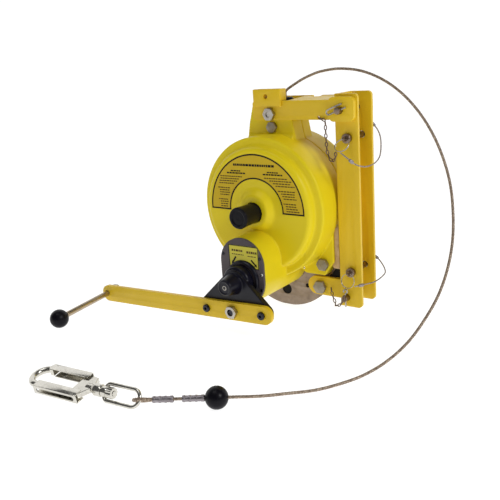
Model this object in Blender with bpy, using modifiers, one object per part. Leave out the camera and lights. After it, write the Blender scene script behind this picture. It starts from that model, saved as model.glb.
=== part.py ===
"""Self retracting lifeline with a retrieval crank, on the bracket of a tripod leg.

Everything is placed in the housing's own frame: the drum turns about Y through X = 0, Z = 0, Y = 0 is
the front face of the cover and +Z is up. The empty "lifeline" then moves it all, so that the middle of
the seat against the tripod leg is the world origin. Sizes are in metres.
"""

import math

import bmesh
import bpy
from mathutils import Matrix, Vector

# Driving dimensions
GAP = 0.0003                      # between pieces that touch
LEG_SEAT = (0.115, 0.0735, 0.007)
TABLE = -0.172                    # what the rope and the hook lie on
COVER_RADIUS = 0.107
FACE_RADIUS = 0.088
WALL = 0.005
SEAM_Y = 0.075                    # between front cover and rear housing
PLATE_Y = 0.0703                  # front of the frame plate
ROPE_Y = 0.0735                   # plane in which the rope leaves the drum
ROPE_RADIUS = 0.0020
CRANK_Z = -0.094                  # crank shaft under the drum's axis
BOSS_TOP_Z = -0.070               # centre of the gearbox boss's upper arc
BOSS_RADIUS = 0.039
BOSS_FRONT = -0.0415
GEAR_MODULE = 0.002
DRUM_TEETH = 80
PINION_TEETH = 14
GEAR_Y = (0.014, 0.024)
RATCHET_TEETH = 12
CHANNEL_X = (0.110, 0.145)
CHANNEL_Y = (0.050, 0.097)
CHANNEL_Z = (-0.149, 0.163)
PIN_X = 0.129
PIN_Z = (0.102, -0.094)
ARM_TILT = math.radians(2.8)
ARM_Y = -0.075                    # front face of the crank arm
ROD_DROP = math.radians(3.5)
ROD_X = -0.2680
ROD_YAW = math.radians(2.4)
SWIVEL = (-0.020, -0.3085, -0.160)
HOOK_YAW = math.radians(186)
HOOK_ROLL = math.radians(-10)     # it rests on its lock's side
EYE_LEAN_DEG = -34                # the eye stands across the bail's bar
BAIL_TILT = math.radians(-46)     # from the hook's own plane
BAIL_HALF = 0.0106
EYE_BAR = (0.0342, -0.3028, -0.160)
BALL = (0.1135, -0.2565, -0.158)

BALL_AT = (Vector(BALL) - Vector(EYE_BAR)).length
DRUM_CORE = 0.038
PAWL_RADIUS = 0.066
PAWL_GAP_DEG = 22                 # where the ratchet ring has the gap that a pawl swings into
PIN_TAB_Y = 0.0400
RING_RADIUS = 0.0105
SCREW_X = (-0.0485, 0.0520)       # along the crank arm
KNOB_DROP = 0.002                 # the shift knob sits this far under the drum's axis
HUB_RADIUS = 0.0240               # drum hub and clutch
KNOB_AT = -0.1100                 # along the handle's rod
HOOK_BOW = 0.104                  # centre of the hook's bow, along the hook
HOOK_HALF = 0.016                 # from the hook's middle to its spine
HEX_HEIGHT = 0.006                # of a bolt's head and of its nut
GATE_PIVOT = (0.0395, -0.0145)
LOCK_PIVOT = (0.0515, 0.0160)

# The rope's own points: out of the bushing, through the air and along the table to the ball.
ROPE_ROUTE = [
    (0.0170, 0.0735, 0.1515), (0.0163, 0.0735, 0.1560), (0.0141, 0.0736, 0.1610), (0.0140, 0.0740, 0.1655),
    (0.0170, 0.0745, 0.1690), (0.0225, 0.0755, 0.1725), (0.0310, 0.0780, 0.1775), (0.0410, 0.0810, 0.1830),
    (0.0530, 0.0850, 0.1880), (0.0670, 0.0900, 0.1922), (0.0925, 0.0975, 0.1945), (0.1240, 0.1030, 0.1900),
    (0.1550, 0.1055, 0.1775), (0.1840, 0.1050, 0.1585), (0.2105, 0.1015, 0.1335), (0.2335, 0.0950, 0.1045),
    (0.2525, 0.0855, 0.0730), (0.2675, 0.0730, 0.0400), (0.2775, 0.0575, 0.0065), (0.2840, 0.0395, -0.0265),
    (0.2855, 0.0195, -0.0580), (0.2825, -0.0035, -0.0875), (0.2745, -0.0280, -0.1135),
    (0.2635, -0.0545, -0.1365), (0.2490, -0.0820, -0.1535), (0.2315, -0.1105, -0.1645),
    (0.2125, -0.1390, -0.1690), (0.1935, -0.1685, -0.1690), (0.1740, -0.1980, -0.1645),
    (0.1540, -0.2250, -0.1605), (0.1290, -0.2475, -0.1575),
]
ROPE_IN_BALL = (0.110, 0.0918, 0.065, 0.040, 0.0154)  # distances from the eye, on one line
UPPER_LANYARD = [
    (0.1290, 0.0278, 0.0853), (0.1389, 0.0310, 0.0765), (0.1458, 0.0400, 0.0672), (0.1541, 0.0540, 0.0624),
    (0.1614, 0.0680, 0.0659), (0.1625, 0.0820, 0.0753), (0.1569, 0.0960, 0.0936), (0.1500, 0.1020, 0.1060),
    (0.1420, 0.1020, 0.1160), (0.1370, 0.0995, 0.1220),
]
LOWER_LANYARD = [
    (0.1405, 0.0370, -0.1110), (0.1507, 0.0470, -0.1095), (0.1613, 0.0620, -0.1077),
    (0.1679, 0.0780, -0.1007), (0.1642, 0.0880, -0.0963), (0.1533, 0.0980, -0.0895),
    (0.1440, 0.1020, -0.0840), (0.1360, 0.1000, -0.0790),
]
UPPER_CHAIN = [
    (0.0878, 0.0420, 0.1307), (0.0980, 0.0415, 0.1267), (0.0993, 0.0410, 0.1143), (0.1002, 0.0400, 0.1018),
    (0.1017, 0.0390, 0.0865), (0.1057, 0.0370, 0.0771), (0.1109, 0.0360, 0.0721), (0.1170, 0.0335, 0.0760),
    (0.1195, 0.0315, 0.0820),
]
LOWER_CHAIN = [
    (0.0951, 0.0470, -0.1224), (0.0990, 0.0440, -0.1328), (0.1040, 0.0420, -0.1425),
    (0.1085, 0.0370, -0.1456), (0.1189, 0.0340, -0.1400), (0.1250, 0.0330, -0.1250),
]

YELLOW = (0.80, 0.70, 0.04)
GOLD = (0.72, 0.50, 0.04)
BLACK = (0.012, 0.012, 0.016)
ZINC = (0.62, 0.60, 0.56)
STEEL = (0.40, 0.36, 0.33)

FACE_FRONT = (math.pi / 2, 0, 0)  # local X, Y become world X, Z and local Z becomes -Y
SECTION = (math.pi / 2, 0, math.pi / 2)  # local X, Y become Y, Z and local Z becomes +X
ALONG_Y = (-math.pi / 2, 0, 0)    # local Z becomes +Y
ALONG_X = (0, math.pi / 2, 0)     # local Z becomes +X


# Scene and materials

def clear_scene():
    for obj in list(bpy.data.objects):
        bpy.data.objects.remove(obj, do_unlink=True)


def new_collection(name):
    made = bpy.data.collections.new(name)
    bpy.context.scene.collection.children.link(made)
    return made


def paint(name, colour, roughness, metallic):
    made = bpy.data.materials.new(name)
    made.use_nodes = True
    shader = made.node_tree.nodes["Principled BSDF"]
    shader.inputs["Base Color"].default_value = (*colour, 1)
    shader.inputs["Roughness"].default_value = roughness
    shader.inputs["Metallic"].default_value = metallic
    return made


def new_empty(name, at=(0, 0, 0), turn=(0, 0, 0), parent=None):
    made = bpy.data.objects.new(name, None)
    PARTS.objects.link(made)
    made.location, made.rotation_euler, made.parent = at, turn, parent
    return made


def add(name, mesh, look, at=(0, 0, 0), turn=(0, 0, 0), parent=None):
    """A sub-part with its own material from look = (colour, roughness, metallic), or a helper without it."""
    obj = bpy.data.objects.new(name, mesh)
    obj.location, obj.rotation_euler, obj.parent = at, turn, parent or LIFELINE
    if look:
        PARTS.objects.link(obj)
        mesh.materials.append(paint(name, *look))
    else:
        CUTTERS.objects.link(obj)
        obj.hide_render = True
        obj.display_type = "WIRE"
    return obj


def boolean(obj, helper, operation="DIFFERENCE"):
    step = obj.modifiers.new(helper.name, "BOOLEAN")
    step.operation, step.object, step.solver = operation, helper, "EXACT"
    return obj


# Shapes

def shaded(mesh):
    mesh.shade_smooth()
    mesh.set_sharp_from_angle(angle=math.radians(35))
    return mesh


def mesh_of(bm, name):
    mesh = bpy.data.meshes.new(name)
    bm.to_mesh(mesh)
    bm.free()
    return shaded(mesh)


def span_block(name, low, high, look=None):
    """A box from corner low to corner high."""
    size = [h - l for l, h in zip(low, high)]
    middle = [(l + h) / 2 for l, h in zip(low, high)]
    bm = bmesh.new()
    bmesh.ops.create_cube(bm, size=1, matrix=Matrix.Diagonal((*size, 1)))
    return add(name, mesh_of(bm, name), look, middle)


def rod(name, radius, length, sides=16):
    """A cylinder along local Z, standing on its origin."""
    bm = bmesh.new()
    bmesh.ops.create_cone(bm, cap_ends=True, segments=sides, radius1=radius, radius2=radius, depth=length,
                          matrix=Matrix.Translation((0, 0, length / 2)))
    return mesh_of(bm, name)


def ball(name, radius, sides=20):
    bm = bmesh.new()
    bmesh.ops.create_uvsphere(bm, u_segments=sides, v_segments=sides // 2 + 2, radius=radius)
    return mesh_of(bm, name)


def turned(name, profile, look, at=(0, 0, 0), turn=ALONG_Y, sides=32, parent=None):
    """A Screw of the closed section profile, given as (radius, distance along the axis)."""
    area = sum(r0 * z1 - r1 * z0 for (r0, z0), (r1, z1) in zip(profile, profile[1:] + profile[:1]))
    points = profile if area < 0 else profile[::-1]
    on_axis = [i for i, (r, z) in enumerate(points) if r == 0]
    if on_axis:
        start = next(i for i in on_axis if points[i - 1][0] == 0)
        points = points[start:] + points[:start]
    count = len(points)
    edges = [(i, (i + 1) % count) for i in range(count - bool(on_axis))]
    mesh = bpy.data.meshes.new(name)
    mesh.from_pydata([(r, 0, z) for r, z in points], edges, [])
    obj = add(name, mesh, look, at, turn, parent)
    screw = obj.modifiers.new("turn", "SCREW")
    screw.steps = screw.render_steps = sides
    screw.use_merge_vertices, screw.merge_threshold = True, 0.00001
    screw.use_smooth_shade = True
    return obj


def from_curve(name, splines, cyclic, setup, look, at, turn, parent):
    curve = bpy.data.curves.new(name, "CURVE")
    for points in splines:
        spline = curve.splines.new("POLY")
        spline.points.add(len(points) - 1)
        for point, place in zip(spline.points, points):
            point.co = (*place, 1) if len(place) == 3 else (*place, 0, 1)
        spline.use_cyclic_u = cyclic
    for key, value in setup.items():
        setattr(curve, key, value)
    guide = bpy.data.objects.new(name + "_curve", curve)
    PARTS.objects.link(guide)
    bpy.context.view_layer.update()
    mesh = bpy.data.meshes.new_from_object(guide.evaluated_get(bpy.context.evaluated_depsgraph_get()))
    bpy.data.objects.remove(guide, do_unlink=True)
    bm = bmesh.new()
    bm.from_mesh(mesh)
    bmesh.ops.remove_doubles(bm, verts=bm.verts, dist=0.000002)
    bmesh.ops.recalc_face_normals(bm, faces=bm.faces)
    bpy.data.meshes.remove(mesh)
    return add(name, mesh_of(bm, name), look, at, turn, parent)


def plate(name, outlines, thickness, look=None, at=(0, 0, 0), turn=FACE_FRONT, parent=None):
    """A flat plate from one outline and its holes, centred on its local Z = 0."""
    setup = {"dimensions": "2D", "fill_mode": "BOTH", "extrude": thickness / 2}
    return from_curve(name, outlines, True, setup, look, at, turn, parent)


def front_plate(name, outlines, y0, y1, look=None, parent=None):
    """A plate whose outlines are (X, Z) points, from y0 back to y1."""
    return plate(name, outlines, y1 - y0, look, (0, (y0 + y1) / 2, 0), FACE_FRONT, parent)


def tube(name, points, radius, look=None, cyclic=False, resolution=2, at=(0, 0, 0), turn=(0, 0, 0),
         parent=None):
    setup = {"dimensions": "3D", "bevel_depth": radius, "bevel_resolution": resolution,
             "use_fill_caps": True}
    return from_curve(name, [points], cyclic, setup, look, at, turn, parent)


def channel(name, mouth, back, half, length, look, at, parent, wall=0.0012):
    """A U section of half height half, open at Y = mouth with its web at Y = back, along local X."""
    inner = back - math.copysign(wall, back - mouth)
    section = [(mouth, -half), (back, -half), (back, half), (mouth, half), (mouth, half - wall),
               (inner, half - wall), (inner, wall - half), (mouth, wall - half)]
    middle = (at[0] + length / 2, at[1], at[2])
    return plate(name, [section], length, look, middle, SECTION, parent)


# Outlines

def arc(cx, cy, radius, start, end, steps):
    """Points from angle start to angle end, in degrees."""
    angles = [math.radians(start + (end - start) * i / steps) for i in range(steps + 1)]
    return [(cx + radius * math.cos(a), cy + radius * math.sin(a)) for a in angles]


def circle(cx, cy, radius, steps=16):
    return arc(cx, cy, radius, 0, 360, steps)[:-1]


def slot(cx0, cy0, cx1, cy1, radius, steps=8):
    """An outline with round ends about two centres."""
    angle = math.degrees(math.atan2(cy1 - cy0, cx1 - cx0))
    return (arc(cx0, cy0, radius, angle + 90, angle + 270, steps)
            + arc(cx1, cy1, radius, angle - 90, angle + 90, steps))


def rounded(x0, y0, x1, y1, radius, steps=3):
    corners = [(x1, y0, -90, -1, 1), (x1, y1, 0, -1, -1), (x0, y1, 90, 1, -1), (x0, y0, 180, 1, 1)]
    return [point for x, y, start, i, j in corners
            for point in arc(x + i * radius, y + j * radius, radius, start, start + 90, steps)]


def gear_outline(teeth, radius, phase):
    """Trapezoid teeth about a pitch radius."""
    tip, root = radius + 0.9 * GEAR_MODULE, radius - 1.25 * GEAR_MODULE
    pitch = 2 * math.pi / teeth
    outline = []
    for tooth in range(teeth):
        middle = phase + tooth * pitch
        for offset, r in ((-0.27, root), (-0.12, tip), (0.12, tip), (0.27, root)):
            angle = middle + offset * pitch
            outline.append((r * math.cos(angle), r * math.sin(angle)))
    return outline


def through(route, per_span):
    """A smooth curve through the route's points, as evenly spread points."""
    points = [Vector(p) for p in route]
    ends = [2 * points[0] - points[1]] + points + [2 * points[-1] - points[-2]]
    made = []
    for i in range(len(points) - 1):
        p0, p1, p2, p3 = ends[i:i + 4]
        steps = max(1, round((p2 - p1).length / per_span))
        for k in range(steps):
            t = k / steps
            made.append(0.5 * (2 * p1 + (p2 - p0) * t + (2 * p0 - 5 * p1 + 4 * p2 - p3) * t ** 2
                               + (3 * p1 - p0 - 3 * p2 + p3) * t ** 3))
    return [tuple(p) for p in made + [points[-1]]]


# Housing

def boss_outline(radius):
    return slot(0, BOSS_TOP_Z, 0, CRANK_Z, radius, 10)


def neck_outline():
    side = [(0.0450, 0.090), (0.0385, 0.123), (0.0310, 0.149)]
    return [(-x, z) for x, z in side] + [(x, z) for x, z in reversed(side)]


def foot_outline():
    return [(0.020, -0.085), (0.050, -0.106), (0.090, -0.106), (0.107, -0.082), (0.107, 0.0)]


def make_front_cover():
    body = turned("front_cover", [
        (0, -0.009), (0.022, -0.009), (0.0245, -0.0078), (0.0305, -0.0015), (0.0335, 0), (FACE_RADIUS, 0),
        (0.0912, 0.0015), (0.0933, 0.0055), (0.0943, 0.0105), (0.0960, 0.0122), (0.1052, 0.0126),
        (COVER_RADIUS, 0.0146), (COVER_RADIUS, SEAM_Y - GAP), (0, SEAM_Y - GAP)],
        (YELLOW, 0.38, 0.0), sides=56)
    boolean(body, front_plate("cover_boss", [boss_outline(BOSS_RADIUS)], BOSS_FRONT, 0.0695), "UNION")
    boolean(body, front_plate("cover_neck", [neck_outline()], 0.050, SEAM_Y - GAP), "UNION")
    boolean(body, front_plate("cover_foot", [foot_outline()], 0.050, 0.0695), "UNION")
    boolean(body, turned("cover_cavity", [
        (0, 0.005), (0.083, 0.005), (0.089, 0.009), (0.091, 0.019), (0.098, 0.022), (0.102, 0.026),
        (0.102, 0.080), (0, 0.080)], None, sides=40))
    boolean(body, front_plate("boss_cavity", [boss_outline(BOSS_RADIUS - WALL)], -0.060, 0.065))
    boolean(body, span_block("plate_pocket", (-0.2, PLATE_Y - GAP, -0.2), (0.2, 0.09, -0.0197)))
    boolean(body, span_block("neck_passage_front", (0.002, 0.062, 0.08), (0.034, 0.09, 0.143)))
    boolean(body, add("bushing_hole_front", rod("bushing_hole_front", 0.0083, 0.03, 20), None,
                      (0.017, ROPE_Y, 0.135)))
    boolean(body, add("knob_hole", rod("knob_hole", 0.0155, 0.05, 24), None, (0, -0.02, -KNOB_DROP), ALONG_Y))
    for name, x, z in (("neck_bolt_hole", 0.004, 0.1165), ("arm_bolt_hole", 0.004, 0.136),
                       ("foot_bolt_hole", 0.082, -0.088)):
        boolean(body, add(name, rod(name, 0.0045, 0.08), None, (x, 0.03, z), ALONG_Y))


def make_rear_housing():
    body = turned("rear_housing", [
        (0, SEAM_Y), (COVER_RADIUS, SEAM_Y), (COVER_RADIUS, 0.116), (0.1045, 0.1225), (0.098, 0.1265),
        (0.088, 0.128), (0.030, 0.128), (0.027, 0.131), (0, 0.131)], (YELLOW, 0.38, 0.0), sides=48)
    boolean(body, front_plate("rear_neck", [neck_outline()], SEAM_Y, 0.097), "UNION")
    boolean(body, turned("rear_cavity", [
        (0, 0.070), (0.102, 0.070), (0.102, 0.115), (0.096, 0.121), (0, 0.121)], None, sides=40))
    boolean(body, span_block("neck_passage_rear", (0.002, 0.070, 0.08), (0.034, 0.085, 0.143)))
    boolean(body, add("bushing_hole_rear", rod("bushing_hole_rear", 0.0083, 0.03, 20), None,
                      (0.017, ROPE_Y, 0.135)))
    boolean(body, add("shaft_seat", rod("shaft_seat", 0.0103, 0.02, 20), None, (0, 0.11, 0), ALONG_Y))
    for name, x, z in (("rear_neck_bolt_hole", 0.004, 0.1165), ("rear_arm_bolt_hole", 0.004, 0.136)):
        boolean(body, add(name, rod(name, 0.0045, 0.06), None, (x, 0.06, z), ALONG_Y))


def make_frame_plate():
    lobe = arc(0, -0.0775, 0.095, -168, -12, 24)
    upper = [(0.1010, -0.020), (0.0905, -0.020)]
    hole = arc(0, 0, 0.0905, -13, -167, 20)
    outline = lobe + upper + hole + [(-0.0905, -0.020), (-0.1010, -0.020)]
    front_plate("frame_plate", [outline, circle(-0.0006, -0.146, 0.009), circle(0.0390, -0.135, 0.0035, 10),
                                circle(0.075, -0.125, 0.0066), circle(0.082, -0.088, 0.0045, 12)],
                PLATE_Y, SEAM_Y - GAP, (STEEL, 0.5, 0.9))


def make_gearbox_plate():
    body = front_plate("gearbox_plate", [boss_outline(BOSS_RADIUS - 0.0005), circle(0, CRANK_Z, 0.0125)],
                       -0.045, BOSS_FRONT - GAP, ((0.13, 0.115, 0.125), 0.5, 0.6))
    boolean(body, turned("shaft_bearing", [(0.0085, -0.0440), (0.0150, -0.0440), (0.0150, -0.026),
                                           (0.0085, -0.026)], None, (0, 0, CRANK_Z), sides=20), "UNION")
    boolean(body, add("load_pawl_pin", rod("load_pawl_pin", 0.0019, 0.035, 12), None,
                      (-0.0180, -0.0440, -0.0655), ALONG_Y), "UNION")


def make_rope_outlet():
    turned("rope_bushing", [(0.0031, 0.1442), (0.0080, 0.1442), (0.0080, 0.1495), (0.0098, 0.1495),
                            (0.0098, 0.1545), (0.0075, 0.1580), (0.0045, 0.1580), (0.0031, 0.1555)],
           (BLACK, 0.4, 0.0), (0.017, ROPE_Y, 0), (0, 0, 0), 20)
    body = span_block("rope_guard", (-0.023, 0.0415, 0.1475), (0.025, 0.0444, 0.172), (GOLD, 0.4, 0.0))
    boolean(body, span_block("guard_top", (-0.023, 0.0440, 0.1555), (0.025, 0.058, 0.172)), "UNION")
    boolean(body, add("guard_hole", rod("guard_hole", 0.0022, 0.03, 12), None, (-0.001, 0.038, 0.1615),
                      ALONG_Y))


# Bracket

def make_leg_channel():
    """A U open to +X: two flanges with rounded outer corners, welded to a web."""
    (x0, x1), (y0, y1), (z0, z1) = CHANNEL_X, CHANNEL_Y, CHANNEL_Z
    flange = [(x0, z0)] + arc(x1 - 0.006, z0 + 0.006, 0.006, -90, 0, 3) \
        + arc(x1 - 0.006, z1 - 0.006, 0.006, 0, 90, 3) + [(x0, z1)]
    holes = [circle(PIN_X, z, 0.0052, 14) for z in PIN_Z]
    body = front_plate("leg_channel", [flange, *holes, circle(0.122, 0.141, 0.0052, 14),
                                       circle(0.1205, -0.135, 0.0052, 14)], y0, y0 + WALL, (GOLD, 0.4, 0.0))
    rear = front_plate("channel_rear", [flange, *holes, circle(0.122, 0.141, 0.0052, 14),
                                        circle(0.1205, -0.135, 0.0052, 14)], y1 - WALL, y1)
    boolean(body, rear, "UNION")
    boolean(body, span_block("channel_web", (x0, y0 + 0.003, z0), (x0 + WALL, y1 - 0.003, z1)), "UNION")


def make_upper_arm():
    """A fork over the neck: front strap with a thick end, top web and rear strap."""
    look = (GOLD, 0.4, 0.0)
    strap = rounded(-0.027, 0.1277, 0.107, 0.1552, 0.0045)
    end = rounded(0.1045, 0.1255, 0.1435, 0.1595, 0.008)
    holes = [circle(0.004, 0.136, 0.0052, 14)]
    body = front_plate("upper_arm", [strap, *holes, circle(0.086, 0.1315, 0.0020, 10)], 0.0447, 0.0497, look)
    boolean(body, front_plate("arm_end_front", [end, circle(0.122, 0.141, 0.0052, 14)], 0.0415, 0.0496),
            "UNION")
    high_strap = rounded(-0.027, 0.1277, 0.107, 0.1580, 0.0045)
    high_end = rounded(0.1045, 0.1255, 0.1410, 0.1590, 0.010)
    boolean(body, front_plate("arm_strap_rear", [high_strap, *holes], 0.0973, 0.1023), "UNION")
    boolean(body, front_plate("arm_end_rear", [high_end, circle(0.122, 0.141, 0.0052, 14)], 0.0974, 0.1055),
            "UNION")
    web = [(0.047, 0.1503), (0.100, 0.1503), (0.100, 0.1576), (0.047, 0.1552)]
    boolean(body, plate("arm_web", [web], 0.0750, None, (0.0715, 0, 0), SECTION), "UNION")
    boolean(body, span_block("arm_notch", (0.046, 0.088, 0.140), (0.062, 0.112, 0.17)))


def make_lower_arm():
    """A fork over the frame plate: two lugs with a spacer near the channel."""
    look = (GOLD, 0.4, 0.0)
    lug = arc(0.0675, -0.1235, 0.0145, 90, 270, 8) + [(0.1094, -0.138), (0.1094, -0.109)]
    hole = circle(0.075, -0.125, 0.0066)
    body = front_plate("lower_arm", [lug, hole], 0.0510, 0.0560, look)
    boolean(body, front_plate("lower_lug_rear", [lug, hole], 0.0890, 0.0940), "UNION")
    boolean(body, span_block("lower_web", (0.1040, 0.053, -0.137), (0.1094, 0.092, -0.110)), "UNION")


def hex_bolt(name, x, z, head_y, length, across=0.019, radius=0.0041):
    """Hex head in front of the face at head_y, a shank through it, and a nut."""
    head = rod(name, across / math.sqrt(3), HEX_HEIGHT, 6)
    body = add(name, head, (ZINC, 0.35, 0.9), (x, head_y - GAP - HEX_HEIGHT, z), ALONG_Y)
    boolean(body, add(name + "_shank", rod(name + "_shank", radius, length + 0.001, 14), None,
                      (x, head_y - GAP - 0.001, z), ALONG_Y), "UNION")
    boolean(body, add(name + "_nut", rod(name + "_nut", across / math.sqrt(3), HEX_HEIGHT, 6), None,
                      (x, head_y + length - 0.0062, z), ALONG_Y), "UNION")


def make_bolts():
    hex_bolt("arm_bolt", 0.004, 0.136, 0.0447, 0.0642)
    hex_bolt("neck_bolt", 0.004, 0.1165, 0.0500, 0.0538, 0.0135)
    hex_bolt("foot_bolt", 0.082, -0.088, 0.0500, 0.0318, 0.017)
    hex_bolt("lug_bolt", 0.075, -0.125, 0.0510, 0.0496, 0.021, 0.0060)
    pad = [(0.0885, -0.1085), (0.1092, -0.1085), (0.1092, -0.0800), (0.1076, -0.0800), (0.1076, -0.0822),
           (0.0909, -0.1064), (0.0885, -0.1064)]
    front_plate("foot_pad", [pad], 0.0565, 0.0690, (BLACK, 0.7, 0.0))


# Pins, clips, rings, lanyards and chains

def clevis_pin(name, x, z, front, back):
    """Headed at the rear, with a cross hole for its clip at the front."""
    body = add(name, rod(name, 0.0048, back - front, 16), (STEEL, 0.4, 0.9), (x, front, z), ALONG_Y)
    boolean(body, add(name + "_head", rod(name + "_head", 0.0075, 0.004, 16), None,
                      (x, back - 0.0005, z), ALONG_Y), "UNION")
    return body


def make_clevis_pins():
    """Pins through bracket and leg. The upper one has a hitch clip, the lower one a cotter pin."""
    upper = clevis_pin("upper_clevis_pin", 0.122, 0.141, 0.0330, 0.1064)
    centre, lean = (0.122, 0.0372, 0.141), math.radians(-21)
    boolean(upper, add("upper_clip_hole", rod("upper_clip_hole", 0.0017, 0.03, 12), None,
                       (0.107, 0.0372, 0.1352), (0, math.radians(90) + lean, 0)))
    clip = ([(0.013, 0), (-0.0145, 0)] + arc(-0.0145, 0.0034, 0.0034, -115, -245, 7)
            + [(-0.0120, 0.0068), (0.0090, 0.0068)])
    tube("upper_hitch_clip", [(x, y, 0) for x, y in clip], 0.0012, (ZINC, 0.3, 0.9), at=centre,
         turn=(math.radians(90), lean, 0))
    lower = clevis_pin("lower_clevis_pin", 0.1205, -0.135, 0.0400, 0.0978)
    boolean(lower, add("lower_cotter_hole", rod("lower_cotter_hole", 0.0017, 0.03, 12), None,
                       (0.1205, 0.0450, -0.150)))
    cotter = [(0, -0.0135), (0, 0.0075)] + arc(0, 0.0110, 0.0030, -60, 220, 8)
    tube("lower_cotter_pin", [(x, 0, z) for x, z in cotter], 0.0012, (ZINC, 0.3, 0.9),
         at=(0.1205, 0.0450, -0.135))


def make_detent_pins():
    """Quick release pins through both flanges, each with a split ring through the tab on its head."""
    for side, z, lean in (("upper", PIN_Z[0], -45), ("lower", PIN_Z[1], -12)):
        name = side + "_detent_pin"
        body = add(name, rod(name, 0.0047, 0.0560, 16), ((0.30, 0.27, 0.25), 0.35, 0.9),
                   (PIN_X, 0.0460, z), ALONG_Y)
        boolean(body, add(name + "_head", rod(name + "_head", 0.0070, 0.0055, 16), None,
                          (PIN_X, 0.0442, z), ALONG_Y), "UNION")
        boolean(body, plate(name + "_tab", [slot(0, 0, 0.006, 0, 0.0035)], 0.0026, None,
                            (PIN_X, PIN_TAB_Y, z), SECTION), "UNION")
        boolean(body, add(name + "_eye", rod(name + "_eye", 0.0018, 0.03, 12), None,
                          (PIN_X - 0.015, PIN_TAB_Y, z), ALONG_X))
        ring = [(RING_RADIUS * math.sin(a), 0, RING_RADIUS * (math.cos(a) - 1))
                for a in (2 * math.pi * i / 22 for i in range(22))]
        tube(side + "_pull_ring", ring, 0.0010, (ZINC, 0.3, 0.9), True, at=(PIN_X, PIN_TAB_Y, z),
             turn=(math.radians(lean), 0, 0))


def make_lanyards_and_chains():
    wire, links = (STEEL, 0.45, 0.8), ((0.30, 0.24, 0.17), 0.5, 0.9)
    for name, route, radius, look in (
            ("upper_lanyard", UPPER_LANYARD, 0.0010, wire), ("lower_lanyard", LOWER_LANYARD, 0.0010, wire),
            ("upper_chain", UPPER_CHAIN, 0.0019, links), ("lower_chain", LOWER_CHAIN, 0.0019, links)):
        tube(name, through(route, 0.005), radius, look)


# Drum, spring and centrifugal brake

def make_shaft():
    turned("drum_shaft", [(0, 0.0110), (0.0088, 0.0110), (0.0100, 0.0122), (0.0100, 0.1270), (0, 0.1270)],
           (STEEL, 0.3, 1.0), sides=20)


def make_drum():
    """Hub with two flanges. The cone in its front takes the clutch."""
    body = turned("drum", [
        (0.0132, 0.0430), (0.0200, 0.0430), (0.0226, 0.0355), (HUB_RADIUS, 0.0355), (HUB_RADIUS, 0.0560),
        (0.0840, 0.0560), (0.0840, 0.0598), (DRUM_CORE, 0.0598), (DRUM_CORE, 0.0872), (0.0840, 0.0872),
        (0.0840, 0.0902), (0.0220, 0.0902), (0.0220, 0.0935), (0.0132, 0.0935)],
        ((0.55, 0.56, 0.58), 0.4, 0.9))
    for name, x in (("pawl_pin_a", PAWL_RADIUS), ("pawl_pin_b", -PAWL_RADIUS)):
        boolean(body, add(name, rod(name, 0.0027, 0.0125, 12), None, (x, 0.0445, 0), ALONG_Y), "UNION")
    turned("drum_bearing", [(0.0103, 0.0450), (0.0129, 0.0450), (0.0129, 0.0930), (0.0103, 0.0930)],
           ((0.55, 0.38, 0.16), 0.4, 0.8), sides=24)
    turned("wound_rope", [(DRUM_CORE + GAP, 0.0601), (0.0745, 0.0601), (0.0745, 0.0869),
                          (DRUM_CORE + GAP, 0.0869)], (STEEL, 0.5, 0.7))


def make_brake():
    """A ratchet ring held by a friction disc, and two pawls that the drum flings outwards into it."""
    teeth = []
    for k in range(RATCHET_TEETH):
        middle = PAWL_GAP_DEG + (k + 0.5) * 360 / RATCHET_TEETH
        for offset, r in ((-7.5, 0.0905), (-4.5, 0.0845), (4.5, 0.0845), (7.5, 0.0905)):
            angle = math.radians(middle + offset)
            teeth.append((r * math.cos(angle), r * math.sin(angle)))
    front_plate("ratchet_ring", [circle(0, 0, 0.1000, 36), teeth], 0.0450, 0.0530, (STEEL, 0.4, 0.9))
    front_plate("brake_disc", [circle(0, 0, 0.1000, 36), circle(0, 0, 0.0880, 36)], 0.0415, 0.0447,
                ((0.10, 0.07, 0.05), 0.8, 0.0))
    for name, turn in (("pawl_a", 0), ("pawl_b", 180)):
        outline = arc(0, 0, 0.0075, 180, 360, 8) + [(0.0075, 0.0220), (0.0065, 0.0345), (-0.0010, 0.0345),
                                                    (-0.0075, 0.0240)]
        pivot = new_empty(name + "_pivot", (0, 0, 0), (0, math.radians(turn), 0), LIFELINE)
        plate(name, [outline, circle(0, 0, 0.0031, 12)], 0.0080, (STEEL, 0.4, 0.9),
              (PAWL_RADIUS, 0.0490, 0), FACE_FRONT, pivot)


def make_power_spring():
    """A flat spiral, from the shaft out to the drum's rim of turns."""
    turns, inner, outer, half = 7, 0.0135, 0.0700, 0.0006
    steps = turns * 16
    spiral = []
    for i in range(steps + 1):
        t = i / steps
        angle, r = 2 * math.pi * turns * t, inner + (outer - inner) * t
        spiral.append((angle, r))
    outside = [((r + half) * math.cos(a), (r + half) * math.sin(a)) for a, r in spiral]
    inside = [((r - half) * math.cos(a), (r - half) * math.sin(a)) for a, r in reversed(spiral)]
    front_plate("power_spring", [outside + inside], 0.0960, 0.1160, ((0.16, 0.17, 0.22), 0.3, 1.0))


# Retrieval drive

def make_drum_gear():
    lightening = [circle(0.051 * math.cos(a), 0.051 * math.sin(a), 0.015, 14)
                  for a in (math.radians(30 + 60 * i) for i in range(6))]
    rim = gear_outline(DRUM_TEETH, GEAR_MODULE * DRUM_TEETH / 2, math.radians(-90))
    front_plate("drum_gear", [rim, circle(0, 0, HUB_RADIUS + 0.0005, 32), *lightening], *GEAR_Y,
                (STEEL, 0.35, 1.0))


def make_clutch():
    """A ring with a cone at its back, which the shift knob pushes into the cone in the drum's hub."""
    turned("clutch_ring", [(0.0105, 0.0080), (HUB_RADIUS - 0.0002, 0.0080), (HUB_RADIUS - 0.0002, 0.0250),
                           (0.0222, 0.0252), (0.0197, 0.0322), (0.0105, 0.0322)], (STEEL, 0.35, 1.0))


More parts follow.
